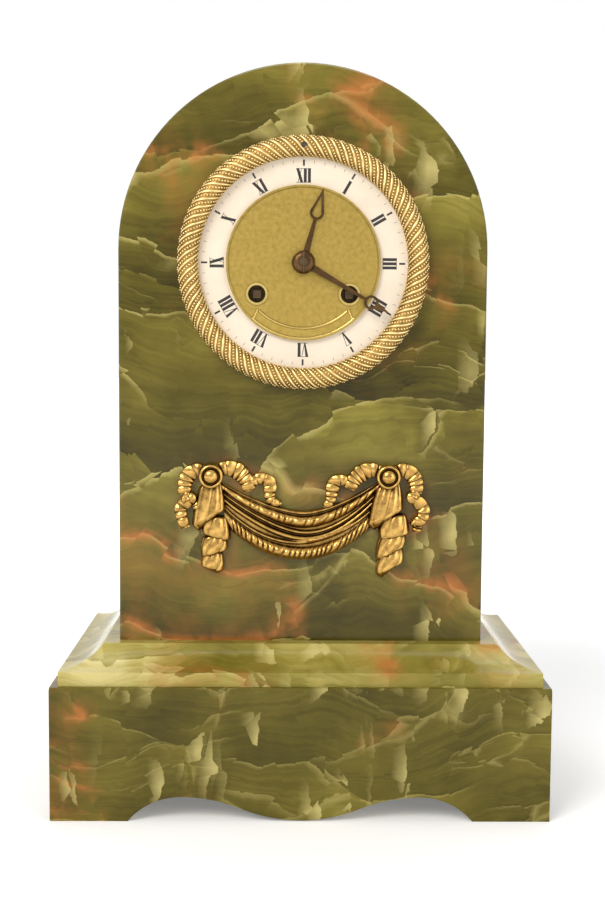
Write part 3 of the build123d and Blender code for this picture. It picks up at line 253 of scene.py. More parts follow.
def stone_plates(tree, vector, contrast):
    """One layer of overlapping plates: tone, bright upper edge and seam."""
    cell = voronoi(tree, vector)
    edge = voronoi(tree, vector, "DISTANCE_TO_EDGE").outputs["Distance"]
    across, _, up = inside_cell(tree, vector, cell)
    rise = maths(tree, "MULTIPLY", up, PLATE_RISE * contrast)
    lean = maths(tree, "MULTIPLY_ADD", across, PLATE_LEAN * contrast, rise)
    tone = maths(tree, "MULTIPLY_ADD", cell_chance(tree, cell)[0], PLATE_CHANCE * contrast, lean)
    upper = maths(tree, "MULTIPLY", up, CREST_GAIN, clamp=True)
    crest = maths(tree, "MULTIPLY", edge_mask(tree, edge, UPPER_EDGE), upper)
    return tone, crest, edge_mask(tree, edge, SEAM_EDGE)


def plate_layers(tree, place, bent, contrast):
    """Wide plates, with zones where the stone is broken into small ones."""
    wide = stone_plates(tree, vmaths(tree, "MULTIPLY", bent, WIDE_PLATES), contrast)
    fine = vmaths(tree, "MULTIPLY", bent, SMALL_PLATES)
    small = stone_plates(tree, fine, contrast * SMALL_PLATE_CONTRAST)
    shifted = vmaths(tree, "ADD", place, ZONE_SHIFT)
    zone = window(tree, noise(tree, shifted, ZONES_PER_MM, 3.0, 0.55), *ZONE_WINDOW)
    return [choose(tree, zone, a, b) for a, b in zip(wide, small)]


def rust_mask(tree, coords, place, seam, patchy, spots):
    """Rust along the seams, in slow patches and round the given (x, z, radius) spots."""
    where = noise(tree, vmaths(tree, "ADD", place, RUST_SHIFT), STAINS_PER_MM, 3.0, 0.55)
    for x, z, radius in spots:
        apart = vmaths(tree, "SUBTRACT", coords, (x, 0.0, z))
        away = length(tree, vmaths(tree, "MULTIPLY", apart, (1.0, 0.0, 1.0)))
        near = maths(tree, "SUBTRACT", 1.0, maths(tree, "DIVIDE", away, radius), clamp=True)
        where = maths(tree, "MULTIPLY_ADD", near, SPOT_STRENGTH, where)
    stained = window(tree, where, *STAIN_WINDOW)
    broken = window(tree, patchy, *PATCH_WINDOW)
    halo = maths(tree, "MULTIPLY_ADD", seam, RUST_AT_SEAM, 1 - RUST_AT_SEAM)
    return product(tree, halo, stained, broken, RUST_STRENGTH)


def sliver_mask(tree, upright, share):
    """Short upright pale slivers with one sharp side, in a share of the cells."""
    shard = vmaths(tree, "MULTIPLY", upright, SLIVER_CELLS)
    cell = voronoi(tree, shard)
    across, _, up = inside_cell(tree, shard, cell)
    chosen = window(tree, cell_chance(tree, cell)[1], SLIVER_CHANCE - share, SLIVER_EDGE)
    glow = maths(tree, "MULTIPLY_ADD", across, SLIVER_GLOW, SLIVER_BASE, clamp=True)
    height = maths(tree, "MULTIPLY", maths(tree, "ABSOLUTE", up), SLIVER_FADE)
    fade = maths(tree, "SUBTRACT", 1.0, height, clamp=True)
    return product(tree, chosen, glow, fade, SLIVER_STRENGTH)


def onyx(name, offset, tone, slivers, contrast, crests, rust_spots):
    """Polished green onyx; the offset makes each block of stone differ."""
    mat, tree, shader = new_material(name)
    coords = millimetres(tree)
    place = vmaths(tree, "ADD", coords, offset)
    warp = centred(tree, noise(tree, place, WARPS_PER_MM, 2.5, 0.5, "Color"), WARP)
    jag = centred(tree, voronoi(tree, place, scale=CHIPS_PER_MM).outputs["Color"], JAG)
    fray = centred(tree, noise(tree, place, FRAYS_PER_MM, 3.0, 0.6, "Color"), FRAY)
    bent = vsum(tree, place, warp, jag, fray)
    value, crest, seam = plate_layers(tree, place, bent, contrast)
    silk = noise(tree, vmaths(tree, "MULTIPLY", bent, SILK_CELLS), 1.0, 4.0, 0.6)
    cloud = noise(tree, place, CLOUDS_PER_MM, 4.0, 0.55)
    value = maths(tree, "MULTIPLY_ADD", cloud, STONE_CLOUD, value)
    value = maths(tree, "MULTIPLY_ADD", silk, STONE_SILK, value)
    colour = ramp(tree, maths(tree, "ADD", value, tone), STONE_TONES)
    patchy = noise(tree, place, PATCHES_PER_MM, 3.0, 0.6)
    colour = blend(tree, product(tree, crest, patchy, crests), colour, CREST_COLOUR)
    rust = rust_mask(tree, coords, place, seam, patchy, rust_spots)
    colour = blend(tree, rust, colour, RUST_COLOUR)
    pale = sliver_mask(tree, vsum(tree, place, jag, fray), slivers)
    colour = blend(tree, pale, colour, SLIVER_COLOUR)
    tree.links.new(colour, shader.inputs["Base Color"])
    shader.inputs["Roughness"].default_value = 0.15
    shader.inputs["IOR"].default_value = 1.5
    shader.inputs["Specular IOR Level"].default_value = 0.2
    tree.links.new(bump(tree, silk, 0.03, 0.4), shader.inputs["Normal"])
    return mat


# Metals, enamel and ink
GRIT_PER_MM = 2.2
METAL_GRIT = 0.35
METAL_CLOUD = 0.9
RECESS_SHADE = 0.12
ROUGH_SPREAD = 0.175


def metal(name, bright, dark, rough, recess_shade_power=0.0, reach=0.0, clouds=0.12):
    """Worn metal: cloudy tone, fine grain and, where asked, painted shade that darkens recesses over a
    reach in mm.
    """
    mat, tree, shader = new_material(name)
    place = millimetres(tree)
    cloud = noise(tree, place, clouds, 5.0, 0.6)
    grit = noise(tree, place, GRIT_PER_MM, 3.0, 0.6)
    tone = maths(tree, "MULTIPLY_ADD", grit, METAL_GRIT, maths(tree, "MULTIPLY", cloud, METAL_CLOUD))
    colour = ramp(tree, tone, [(0.3, dark), (0.75, bright)])
    if recess_shade_power:
        # Painted shade: ambient occlusion darkens the colour in recesses, folds and creases
        shadow = put(tree, "ShaderNodeAmbientOcclusion", {"Distance": reach * MM}).outputs["AO"]
        depth = maths(tree, "POWER", shadow, recess_shade_power)
        colour = blend(tree, depth, tuple(c * RECESS_SHADE for c in dark), colour)
    tree.links.new(colour, shader.inputs["Base Color"])
    shader.inputs["Metallic"].default_value = 1.0
    spread = maths(tree, "MULTIPLY_ADD", cloud, ROUGH_SPREAD, rough - ROUGH_SPREAD / 2)
    tree.links.new(spread, shader.inputs["Roughness"])
    tree.links.new(bump(tree, grit, 0.12, 0.2), shader.inputs["Normal"])
    return mat


def enamel(name):
    """Fired cream enamel with faint speckle and a soft gloss."""
    mat, tree, shader = new_material(name)
    place = millimetres(tree)
    cloud = noise(tree, place, 0.05, 4.0, 0.6)
    speck = noise(tree, place, 1.4, 3.0, 0.6)
    tone = maths(tree, "MULTIPLY_ADD", speck, 0.25, maths(tree, "MULTIPLY", cloud, 0.8))
    colour = ramp(tree, tone, [(0.2, srgb(226, 211, 190)), (0.8, srgb(242, 230, 212))])
    tree.links.new(colour, shader.inputs["Base Color"])
    shader.inputs["Roughness"].default_value = 0.25
    shader.inputs["Specular IOR Level"].default_value = 0.25
    tree.links.new(bump(tree, cloud, 0.05, 0.4), shader.inputs["Normal"])
    return mat


def ink(name):
    """Fired black numeral paint, thin and slightly brown."""
    mat, tree, shader = new_material(name)
    cloud = noise(tree, millimetres(tree), 0.8, 4.0, 0.6)
    colour = ramp(tree, cloud, [(0.3, srgb(18, 15, 13)), (0.75, srgb(46, 40, 36))])
    tree.links.new(colour, shader.inputs["Base Color"])
    shader.inputs["Roughness"].default_value = 0.4
    return mat


# The three gilts below darken their recesses and folds as painted shade
GILT = metal(
    "gilt_bronze",
    bright=srgb(206, 166, 92),
    dark=srgb(112, 70, 30),
    rough=0.21,
    recess_shade_power=2.9,
    reach=3.0,
    clouds=0.3,
)
GILT_ROPE = metal(
    "gilt_rope",
    bright=srgb(240, 216, 154),
    dark=srgb(196, 162, 98),
    rough=0.33,
    recess_shade_power=1.0,
    reach=0.9,
    clouds=0.3,
)
GILT_DIAL = metal(
    "gilt_dial",
    bright=srgb(172, 147, 76),
    dark=srgb(147, 121, 57),
    rough=0.35,
    recess_shade_power=1.0,
    reach=0.8,
    clouds=0.5,
)
# Darker copy of the gilt for the bezel's core between the strands: painted shade
GILT_SHADED_RECESS = metal("gilt_shaded_recess", srgb(168, 134, 74), srgb(108, 80, 40), 0.5)
GILT_EDGE = metal("gilt_edge", srgb(208, 184, 112), srgb(174, 146, 80), 0.24)
BRASS = metal("clock_brass", srgb(186, 155, 92), srgb(140, 109, 58), 0.36, clouds=0.3)
BELL = metal("bell_metal", srgb(206, 180, 128), srgb(140, 116, 74), 0.3)
STEEL = metal("grey_steel", srgb(150, 148, 146), srgb(84, 82, 82), 0.36)
# Dark steel: the real colour of the hand pin and cannon pinion, and painted shade on the winding arbors
# deep in the winding holes
OLD_STEEL_AND_HOLE_SHADE = metal("old_steel_and_hole_shade", srgb(92, 78, 58), srgb(40, 32, 24), 0.42)
DARK = metal("dark_bronze", srgb(96, 72, 46), srgb(40, 28, 18), 0.34)
ENAMEL = enamel("enamel")
INK = ink("numeral_ink")

# Rust spots: x, z and radius in millimetres
CASE_RUST = (
    (-58.0, 104.0, 40.0),
    (-22.0, 92.0, 30.0),
    (62.0, 100.0, 26.0),
    (-62.0, 297.0, 30.0),
    (20.0, 322.0, 34.0),
    (66.0, 236.0, 20.0),
)
STEP_RUST = ((40.0, 70.0, 26.0), (92.0, 68.0, 16.0))
BASE_RUST = ((-104.0, 54.0, 18.0), (-100.0, 18.0, 22.0))
ONYX_CASE = onyx(
    "onyx_case",
    offset=(0.0, 0.0, 0.0),
    tone=-0.105,
    slivers=0.15,
    contrast=0.78,
    crests=1.0,
    rust_spots=CASE_RUST,
)
ONYX_STEP = onyx(
    "onyx_step",
    offset=(420.0, 130.0, 37.0),
    tone=0.27,
    slivers=0.24,
    contrast=0.85,
    crests=1.0,
    rust_spots=STEP_RUST,
)
ONYX_BASE = onyx(
    "onyx_base",
    offset=(-350.0, 270.0, 480.0),
    tone=-0.02,
    slivers=0.36,
    contrast=0.36,
    crests=0.5,
    rust_spots=BASE_RUST,
)

STONE_NODES = {
    ONYX_CASE: ["case_front", "case_back", "case_wall"],
    ONYX_STEP: ["step_moulding"],
    ONYX_BASE: ["plinth_front", "plinth_back", "plinth_left_side", "plinth_right_side"],
}
FITTING_NODES = {
    GILT_EDGE: ["winding_eyelets"],
    GILT_DIAL: ["dial_centre"],
    BRASS: [
        "dial_plate", "dial_feet", "front_plate", "back_plate", "plate_pillars", "suspension_cock",
        "rear_ring", "rear_door", "door_knob", "movement_straps", "going_barrel", "strike_barrel",
        "second_wheel", "centre_wheel", "third_wheel", "escape_wheel", "strike_second_wheel",
        "pin_wheel", "minute_wheel", "hour_wheel", "pendulum_bob", "rating_nut", "bell_nut",
    ],
    BELL: ["bell"],
    STEEL: [
        "tie_bolts", "ratchet_clicks", "hinge_pin", "strap_screws", "stud_nuts", "pallet_anchor",
        "pendulum_rod", "bell_stand", "hammer",
    ],
    # The winding arbors take the dark steel as painted shade for the winding holes
    OLD_STEEL_AND_HOLE_SHADE: ["going_winding_arbor", "strike_winding_arbor", "hand_pin", "cannon_pinion"],
    DARK: ["hour_hand", "minute_hand", "hand_collet"],
    ENAMEL: ["chapter_ring"],
}
STONE_EDGE = 0.35
HAND_EDGE = 0.22
SHARP_ANGLE = math.radians(32)
BEVEL_ANGLE = math.radians(40)


def ease_edges(name, width):
    """Fine rounding on the sharp edges of a CAD node, in millimetres."""
    edge = nodes[name].modifiers.new("eased_edge", "BEVEL")
    edge.width = width * MM
    edge.segments = 2
    edge.limit_method = "ANGLE"
    edge.angle_limit = BEVEL_ANGLE


def dress_cad_nodes():
    """Give every shown CAD node its finish and smooth rounds, and the stone and the hands a fine edge."""
    for mat, names in {**STONE_NODES, **FITTING_NODES}.items():
        for name in names:
            mesh = nodes[name].data
            mesh.materials.clear()
            mesh.materials.append(mat)
            mesh.shade_smooth()
            mesh.set_sharp_from_angle(angle=SHARP_ANGLE)
    for names in STONE_NODES.values():
        for name in names:
            ease_edges(name, STONE_EDGE)
    for name in ("hour_hand", "minute_hand"):
        ease_edges(name, HAND_EDGE)


# Mesh helpers
def clock_point(x, s, z):
    """Millimetres across, behind the case front and above the ground, as metres in the clock's frame."""
    return (x * MM, (CASE_FRONT + s) * MM, z * MM)


def dial_point(radius, s, turn):
    """Millimetre point (x, s, z) at a radius from the dial's middle, turned clockwise from twelve."""
    return (radius * math.sin(turn), s, DIAL_Z + radius * math.cos(turn))


def mesh_piece(name, points, faces, mat, smooth=True):
    """Mesh object from millimetre points (x, s, z)."""
    mesh = bpy.data.meshes.new(name)
    mesh.from_pydata([clock_point(*p) for p in points], [], faces)
    mesh.materials.append(mat)
    if smooth:
        mesh.shade_smooth()
    mesh.update()
    obj = bpy.data.objects.new(name, mesh)
    bpy.context.scene.collection.objects.link(obj)
    return obj


def grid(shape, nu, nv, close_u=False, close_v=False):
    """Points and faces of a surface shape(u, v) with u and v from 0 to 1."""
    cols = nu if close_u else nu + 1
    rows = nv if close_v else nv + 1
    points = [shape(i / nu, j / nv) for i in range(cols) for j in range(rows)]
    faces = []
    for i in range(nu):
        for j in range(nv):
            a, b = i % cols, (i + 1) % cols
            c, d = j % rows, (j + 1) % rows
            faces.append((a * rows + c, a * rows + d, b * rows + d, b * rows + c))
    return points, faces


def joined(name, groups, smooth=True):
    """One object from (material, list of (points, faces)) groups."""
    points = []
    faces = []
    slots = []
    for slot, (_, parts) in enumerate(groups):
        for part_points, part_faces in parts:
            base = len(points)
            points.extend(part_points)
            faces.extend(tuple(base + index for index in face) for face in part_faces)
            slots.extend([slot] * len(part_faces))
    obj = mesh_piece(name, points, faces, groups[0][0], smooth)
    for mat, _ in groups[1:]:
        obj.data.materials.append(mat)
    obj.data.polygons.foreach_set("material_index", slots)
    return obj


def thicken(obj, thickness, offset):
    """Give a sheet its thickness in millimetres."""
    solid = obj.modifiers.new("thickness", "SOLIDIFY")
    solid.thickness = thickness * MM
    solid.offset = offset


def spline(points, t):
    """Catmull-Rom curve through points, t from 0 to 1."""
    spans = len(points) - 1
    position = min(max(t, 0.0), 1.0) * spans
    i = min(int(position), spans - 1)
    f = position - i
    p0, p1, p2, p3 = points[max(i - 1, 0)], points[i], points[i + 1], points[min(i + 2, spans)]
    return tuple(
        0.5 * (2 * b + (c - a) * f + (2 * a - 5 * b + 4 * c - d) * f**2 + (3 * b - a - 3 * c + d) * f**3)
        for a, b, c, d in zip(p0, p1, p2, p3)
    )


# Rope bezel
BEZEL_MID_R = 51.6
BEZEL_HALF_W = 4.55
BEZEL_LIP = 2.2
BEZEL_CROWN = 5.0
CORE_LIP_SHARE = 0.08
CORE_CROWN_SHARE = 0.86
CORE_SIGHT_DROP = 0.2
CORE_STEPS = 20
STRANDS = 78
TWIST = math.radians(13.0)
STRAND_R = 0.62
STRAND_WIDEN = 1.15
STRAND_LIFT = 0.12
STRAND_FROM = -0.95
STRAND_SPAN = 1.88
STRAND_TIP = 0.25
STRAND_TAPER = 6.0
STRAND_MESH = (22, 8)
BEAD_R = 0.56
BEAD_RINGS = 4
BEAD_SIDES = 7
BEAD_LIFT = 0.1
BEAD_FROM = -0.88
BEAD_SPAN = 1.72
BEADS_PER_ROW = 13
HOLE_R = 1.2
HOLE_MIDDLE_R = 0.1
HOLE_S = -8.1
HOLE_DEPTH = 0.25
HOLE_MESH = (20, 3)


def bezel_point(across, lift, turn):
    """Point over the bezel: across from the outer edge (-1) to the sight edge (1)."""
    swing = math.pi / 2 * (1 + across)
    radius = BEZEL_MID_R + (BEZEL_HALF_W + lift) * math.cos(swing)
    return dial_point(radius, -BEZEL_LIP - (BEZEL_CROWN + lift) * math.sin(swing), turn)


def bead(centre):
    """Small closed ball."""
    cx, cs, cz = centre
    points = [(cx, cs - BEAD_R, cz)]
    for i in range(1, BEAD_RINGS):
        lean = math.pi * i / BEAD_RINGS
        reach = BEAD_R * math.sin(lean)
        for j in range(BEAD_SIDES):
            turn = 2 * math.pi * j / BEAD_SIDES
            x = cx + reach * math.cos(turn)
            z = cz + reach * math.sin(turn)
            points.append((x, cs - BEAD_R * math.cos(lean), z))
    points.append((cx, cs + BEAD_R, cz))
    last = len(points) - 1
    base = 1 + (BEAD_RINGS - 2) * BEAD_SIDES
    faces = []
    for j in range(BEAD_SIDES):
        k = (j + 1) % BEAD_SIDES
        faces.append((0, 1 + j, 1 + k))
        faces.append((last, base + k, base + j))
        for i in range(BEAD_RINGS - 2):
            low = 1 + i * BEAD_SIDES
            faces.append((low + j, low + BEAD_SIDES + j, low + BEAD_SIDES + k, low + k))
    return points, faces


def bezel_core(u, v):
    """Half-round ring under the strands, with an upright outer lip."""
    if v < CORE_LIP_SHARE:
        across, s = BEZEL_HALF_W, 0.0
    elif v > CORE_LIP_SHARE + CORE_CROWN_SHARE:
        across, s = -BEZEL_HALF_W, -BEZEL_LIP + CORE_SIGHT_DROP
    else:
        swing = math.pi * (v - CORE_LIP_SHARE) / CORE_CROWN_SHARE
        across = BEZEL_HALF_W * math.cos(swing)
        s = -BEZEL_LIP - BEZEL_CROWN * math.sin(swing)
    return dial_point(BEZEL_MID_R + across, s, 2 * math.pi * u)


def rope_strand(base):
    """Plain round strand laid slantwise over the ring, thinner at both ends."""
    def tube(u, v):
        across = STRAND_FROM + STRAND_SPAN * u
        girth = 2 * math.pi * v
        size = STRAND_R * min(1.0, STRAND_TIP + STRAND_TAPER * min(u, 1 - u))
        side = size * STRAND_WIDEN * math.cos(girth) / BEZEL_MID_R
        return bezel_point(across, STRAND_LIFT + size * math.sin(girth), base + TWIST * across / 2 + side)

    return grid(tube, *STRAND_MESH, close_v=True)


def bead_row(base):
    """Row of beads laid beside a strand."""
    places = [BEAD_FROM + BEAD_SPAN * index / (BEADS_PER_ROW - 1) for index in range(BEADS_PER_ROW)]
    return [bead(bezel_point(across, BEAD_LIFT, base + TWIST * across / 2)) for across in places]


def build_bezel():
    """Rope-twist bezel: plain strands alternating with rows of beads on a half-round ring."""
    pitch = 2 * math.pi / STRANDS
    strands = [rope_strand((index + 0.5) * pitch) for index in range(STRANDS)]
    beads = [ball for index in range(STRANDS) for ball in bead_row((index + 1.0) * pitch)]
    core = [grid(bezel_core, 3 * STRANDS, CORE_STEPS, close_u=True)]
    # The core between the strands takes the darker gilt as painted shade
    bezel = joined("rope_bezel_gilt", [(GILT_ROPE, strands + beads), (GILT_SHADED_RECESS, core)])
    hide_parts("rope_bezel")
    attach(bezel, "case")


def build_bezel_hole():
    """Small fixing hole at twelve o'clock: a shallow socket in black ink as painted shade for its dark
    inside.
    """
    middle_z = DIAL_Z + BEZEL_MID_R

    def socket(u, v):
        turn = 2 * math.pi * u
        radius = HOLE_MIDDLE_R + (HOLE_R - HOLE_MIDDLE_R) * v
        return (radius * math.cos(turn), HOLE_S + HOLE_DEPTH * (1 - v), middle_z + radius * math.sin(turn))

    hole = mesh_piece("bezel_hole_painted_shade", *grid(socket, *HOLE_MESH, close_u=True), INK)
    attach(hole, "case")


# Dial
NUMERALS = ["XII", "I", "II", "III", "IIII", "V", "VI", "VII", "VIII", "IX", "X", "XI"]
NUMERAL_FOOT = 35.6
NUMERAL_TOP = 41.9
LETTER_WIDTHS = {"I": 1.85, "V": 3.2, "X": 3.1}
STROKE = 1.3
HAIR = 0.22
SERIF_INSET = 0.1
SERIF_SHARE = 0.03
RING_FACE = -2.03
MARK_T = 0.03
# Marks: half width, inner radius and outer radius
HOUR_MARK = (0.42, 43.0, 45.7)
MINUTE_MARK = (0.07, 44.2, 45.6)


def letter_strokes(letter, middle):
    """Strokes of one letter as four-cornered shapes in (across, up) with up from 0 to 1."""
    half = STROKE / 2
    if letter == "I":
        return [[(middle - half, 0), (middle + half, 0), (middle + half, 1), (middle - half, 1)]]
    if letter == "V":
        left, right = middle - 1.0, middle + 1.2
        thick = [(middle - 0.25, 0), (middle + 0.35, 0), (left + half, 1), (left - half, 1)]
        thin = [(middle - 0.1, 0), (middle + 0.2, 0), (right + HAIR, 1), (right, 1)]
        return [thick, thin]
    left, right = middle - 0.95, middle + 0.95
    thick = [(right - half, 0), (right + half, 0), (left + half, 1), (left - half, 1)]
    thin = [(left, 0), (left + HAIR, 0), (right, 1), (right - HAIR, 1)]
    return [thick, thin]


def numeral_strokes(text):
    """Strokes and serifs of a Roman numeral."""
    total = sum(LETTER_WIDTHS[letter] for letter in text)
    at = -total / 2
    shapes = []
    for letter in text:
        shapes.extend(letter_strokes(letter, at + LETTER_WIDTHS[letter] / 2))
        at += LETTER_WIDTHS[letter]
    end = total / 2 - SERIF_INSET
    for low, high in ((0.0, SERIF_SHARE), (1.0, 1.0 - SERIF_SHARE)):
        shapes.append([(-end, low), (end, low), (end, high), (-end, high)])
    return shapes


def on_ring(across, radius, turn):
    """Point on the enamel at a radius, shifted sideways from an hour line."""
    x, s, z = dial_point(radius, RING_FACE, turn)
    return (x + across * math.cos(turn), s, z - across * math.sin(turn))


def build_dial_marks():
    """Numerals and minute marks fired on the chapter ring."""
    parts = []
    rise = NUMERAL_TOP - NUMERAL_FOOT
    for hour, text in enumerate(NUMERALS):
        turn = 2 * math.pi * hour / 12
        for shape in numeral_strokes(text):
            points = [on_ring(across, NUMERAL_FOOT + up * rise, turn) for across, up in shape]
            parts.append((points, [(0, 1, 2, 3)]))
    for minute in range(60):
        turn = 2 * math.pi * minute / 60
        half, low, high = HOUR_MARK if minute % 5 == 0 else MINUTE_MARK
        corners = ((-half, low), (half, low), (half, high), (-half, high))
        parts.append(([on_ring(across, radius, turn) for across, radius in corners], [(0, 1, 2, 3)]))
    marks = joined("dial_numerals", [(INK, parts)], smooth=False)
    thicken(marks, MARK_T, 0.0)
    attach(marks, "case")


LABEL_INNER_R = 29.0
LABEL_OUTER_R = 33.5
LABEL_SPREAD = math.radians(43)
LABEL_FACE = -3.25
LABEL_RIM_W = 0.5
LABEL_RIM_RISE = 0.55
LABEL_FIELD_RISE = 0.1
LABEL_RIPPLE = 0.02
LABEL_RIPPLES = 5
LABEL_END_SLANT = 0.05
LABEL_FIELD_MESH = (90, 30)
LABEL_RAIL_MESH = (90, 6)
LABEL_END_MESH = (6, 6)


def label_field(u, v):
    """Bare face of the label, very slightly rippled."""
    turn = math.pi + LABEL_SPREAD * (2 * u - 1)
    radius = LABEL_INNER_R + (LABEL_OUTER_R - LABEL_INNER_R) * v
    ripple = LABEL_RIPPLE * math.sin(2 * math.pi * LABEL_RIPPLES * v)
    return dial_point(radius, LABEL_FACE - LABEL_FIELD_RISE - ripple, turn)


def label_rail(radius):
    """Raised half-round edge along an arc of the label."""
    def rail(u, v):
        turn = math.pi + LABEL_SPREAD * (2 * u - 1)
        swing = math.pi * v
        s = LABEL_FACE - LABEL_RIM_RISE * math.sin(swing)
        return dial_point(radius - LABEL_RIM_W * math.cos(swing), s, turn)

    return grid(rail, *LABEL_RAIL_MESH)


def label_end(side):
    """Raised half-round edge across one end of the label."""
    def stop(u, v):
        swing = math.pi * v
        radius = LABEL_INNER_R + (LABEL_OUTER_R - LABEL_INNER_R) * u
        lean = side * (LABEL_SPREAD - LABEL_END_SLANT * (u - 0.5))
        turn = math.pi + lean - LABEL_RIM_W * math.cos(swing) / radius
        return dial_point(radius, LABEL_FACE - LABEL_RIM_RISE * math.sin(swing), turn)

    return grid(stop, *LABEL_END_MESH)


def build_cartouche():
    """Bare arched label with raised bright edges at the foot of the gilt centre."""
    rails = [label_rail(LABEL_INNER_R), label_rail(LABEL_OUTER_R), label_end(-1), label_end(1)]
    field = [grid(label_field, *LABEL_FIELD_MESH)]
    label = joined("dial_cartouche", [(GILT_EDGE, rails), (GILT_DIAL, field)])
    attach(label, "case")


# Drapery mount: places are (x, z) in millimetres
SWAG_TOP = ((-37.4, 149.0), (1.0, 135.4), (35.8, 149.4))
SWAG_LOW = ((-34.2, 128.6), (-0.6, 113.5), (31.4, 128.0))
# Folds: height, place down the cloth, share of the slip, half width
SWAG_FOLDS = (
    (1.3, 0.03, 0.0, 0.04),
    (1.6, 0.4, 1.0, 0.05),
    (1.9, 0.53, 0.8, 0.065),
    (1.5, 0.655, -0.6, 0.045),
)
FOLD_SLIP = 0.05
FOLD_AT_ENDS = 0.62
# Powers of the curve across and down: at the top edge, and their change towards the hem
SWAG_SPREAD = (1.04, -0.08)
SWAG_SAG = (1.7, 0.35)
SWAG_END_HANG = 1.4
SWAG_EDGE = 1.0
SWAG_BELLY = 2.2
# Pleated hems: place down the cloth and half width
UPPER_HEM = (0.2, 0.13)
LOWER_HEM = (0.87, 0.14)
UPPER_HEM_SLIP = 0.3
UPPER_HEM_RISE = 2.2
LOWER_HEM_RISE = 2.0
HEM_PLEAT_RISE = 0.55
UPPER_PLEATS = 17
LOWER_PLEATS = 26
SWAG_MESH = (460, 76)
SWAG_RIM_STEPS = 8


def ridge(v, middle, width):
    """Rounded ridge across the cloth."""
    return max(0.0, 1 - ((v - middle) / width) ** 2)


def gather(phase):
    """Broad ridges parted by narrow valleys, one to each whole step of the phase."""
    return 2 * abs(math.sin(math.pi * phase)) ** 0.6 - 1


def between(a, b, share):
    """Point part of the way from a to b."""
    return [p + (q - p) * share for p, q in zip(a, b)]


def swag_cloth(u, v):
    """Front of the swag: u from left to right, v from the top edge to the hem."""
    t = 2 * u - 1
    reach = abs(t)
    side = 0 if t < 0 else 2
    end = between(SWAG_TOP[side], SWAG_LOW[side], v**SWAG_END_HANG)
    middle = between(SWAG_TOP[1], SWAG_LOW[1], v)
    x = middle[0] + (end[0] - middle[0]) * reach ** (SWAG_SPREAD[0] + SWAG_SPREAD[1] * v)
    z = middle[1] + (end[1] - middle[1]) * reach ** (SWAG_SAG[0] + SWAG_SAG[1] * v)
    belly = 1 - t * t
    slip = FOLD_SLIP * math.sin(3.1 * t + 0.6)
    upper = ridge(v, UPPER_HEM[0] + UPPER_HEM_SLIP * slip, UPPER_HEM[1])
    lower = ridge(v, *LOWER_HEM)
    folds = UPPER_HEM_RISE * upper + LOWER_HEM_RISE * lower
    folds += sum(rise * ridge(v, place + share * slip, width) for rise, place, share, width in SWAG_FOLDS)
    fade = min(1.0, (1 - reach) * 5 + 0.1)
    drift = 0.3 * math.sin(15 * u + 1.0) + 0.2 * math.sin(34 * u)
    pleats = upper * gather(UPPER_PLEATS * u + drift + 0.9 * v)
    pleats += lower * gather(LOWER_PLEATS * u - drift + 1.3 * v)
    folds *= FOLD_AT_ENDS + (1 - FOLD_AT_ENDS) * belly
    return (x, -(SWAG_EDGE + SWAG_BELLY * belly + folds + HEM_PLEAT_RISE * pleats * fade), z)


def swag_rim(u, v):
    """Edges of the swag, drawn back to the stone."""
    x, s, z = swag_cloth(u, 0.0 if v < 0.5 else 1.0)
    return (x, s * abs(1 - 2 * v), z)


def build_swag():
    """Hanging cloth between the rosettes: rolled top, two pleated hems and folds between."""
    sheets = [grid(swag_cloth, *SWAG_MESH), grid(swag_rim, SWAG_MESH[0], SWAG_RIM_STEPS)]
    swag = joined("drapery_swag_gilt", [(GILT, sheets)])
    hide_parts("drapery_swag")
    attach(swag, "case")


# Ribbons: points, widths at start, middle and end, and number of ruffles
LEFT_BOW = [
    (
        [(-43.6, 153.2), (-47.6, 154.0), (-51.2, 151.8), (-53.0, 147.6), (-53.2, 142.8)],
        (4.8, 6.8, 5.0),
        6,
    ),
    (
        [(-53.4, 143.2), (-50.2, 141.2), (-52.4, 139.2), (-54.8, 136.6), (-54.2, 132.2), (-52.4, 127.8)],
        (3.6, 5.6, 3.8),
        6,
    ),
    (
        [(-54.2, 141.0), (-50.6, 140.6), (-47.8, 138.6), (-47.2, 135.6)],
        (3.0, 4.2, 2.4),
        4,
    ),
    (
        [(-38.4, 153.8), (-34.0, 155.2), (-29.4, 153.8), (-25.6, 150.2), (-23.8, 144.8)],
        (4.8, 7.4, 4.8),
        7,
    ),
    (
        [
            (-23.6, 145.8), (-21.6, 149.4), (-17.8, 150.4), (-14.4, 148.0),
            (-14.6, 143.2), (-13.4, 140.2), (-9.4, 138.6),
        ],
        (3.4, 5.8, 2.4),
        8,
    ),
]
RIGHT_BOW = [
    (
        [(42.2, 153.6), (46.2, 154.6), (50.2, 152.4), (52.0, 148.4), (52.2, 144.0)],
        (4.8, 6.8, 5.0),
        6,
    ),
    (
        [(52.6, 144.8), (50.2, 142.2), (53.4, 139.8), (55.6, 136.2), (54.6, 132.2), (50.8, 130.0)],
        (3.6, 5.6, 3.8),
        6,
    ),
    (
        [(50.6, 131.4), (52.8, 129.2), (52.2, 126.2)],
        (3.2, 4.2, 3.0),
        3,
    ),
    (
        [(36.2, 153.8), (31.4, 154.6), (27.2, 153.0), (23.8, 150.0), (21.8, 146.0)],
        (4.8, 7.4, 4.8),
        7,
    ),
    (
        [(22.0, 147.2), (18.4, 150.0), (14.8, 148.6), (13.8, 144.4), (13.0, 140.4), (10.4, 137.4)],
        (3.4, 5.8, 2.6),
        7,
    ),
]
RIBBON_LIFT = 2.4
RIBBON_LIFT_STEP = 0.25
RIBBON_CROWN = 0.9
RIBBON_RUFFLE = 0.42
RIBBON_WAVE = 0.7
RIBBON_FLARE = 0.07
RIBBON_LEAST = 0.5
RUFFLE_AT_MIDDLE = 0.6
RIBBON_T = 0.7
RIBBON_MESH = (110, 14)
TANGENT_STEP = 0.012


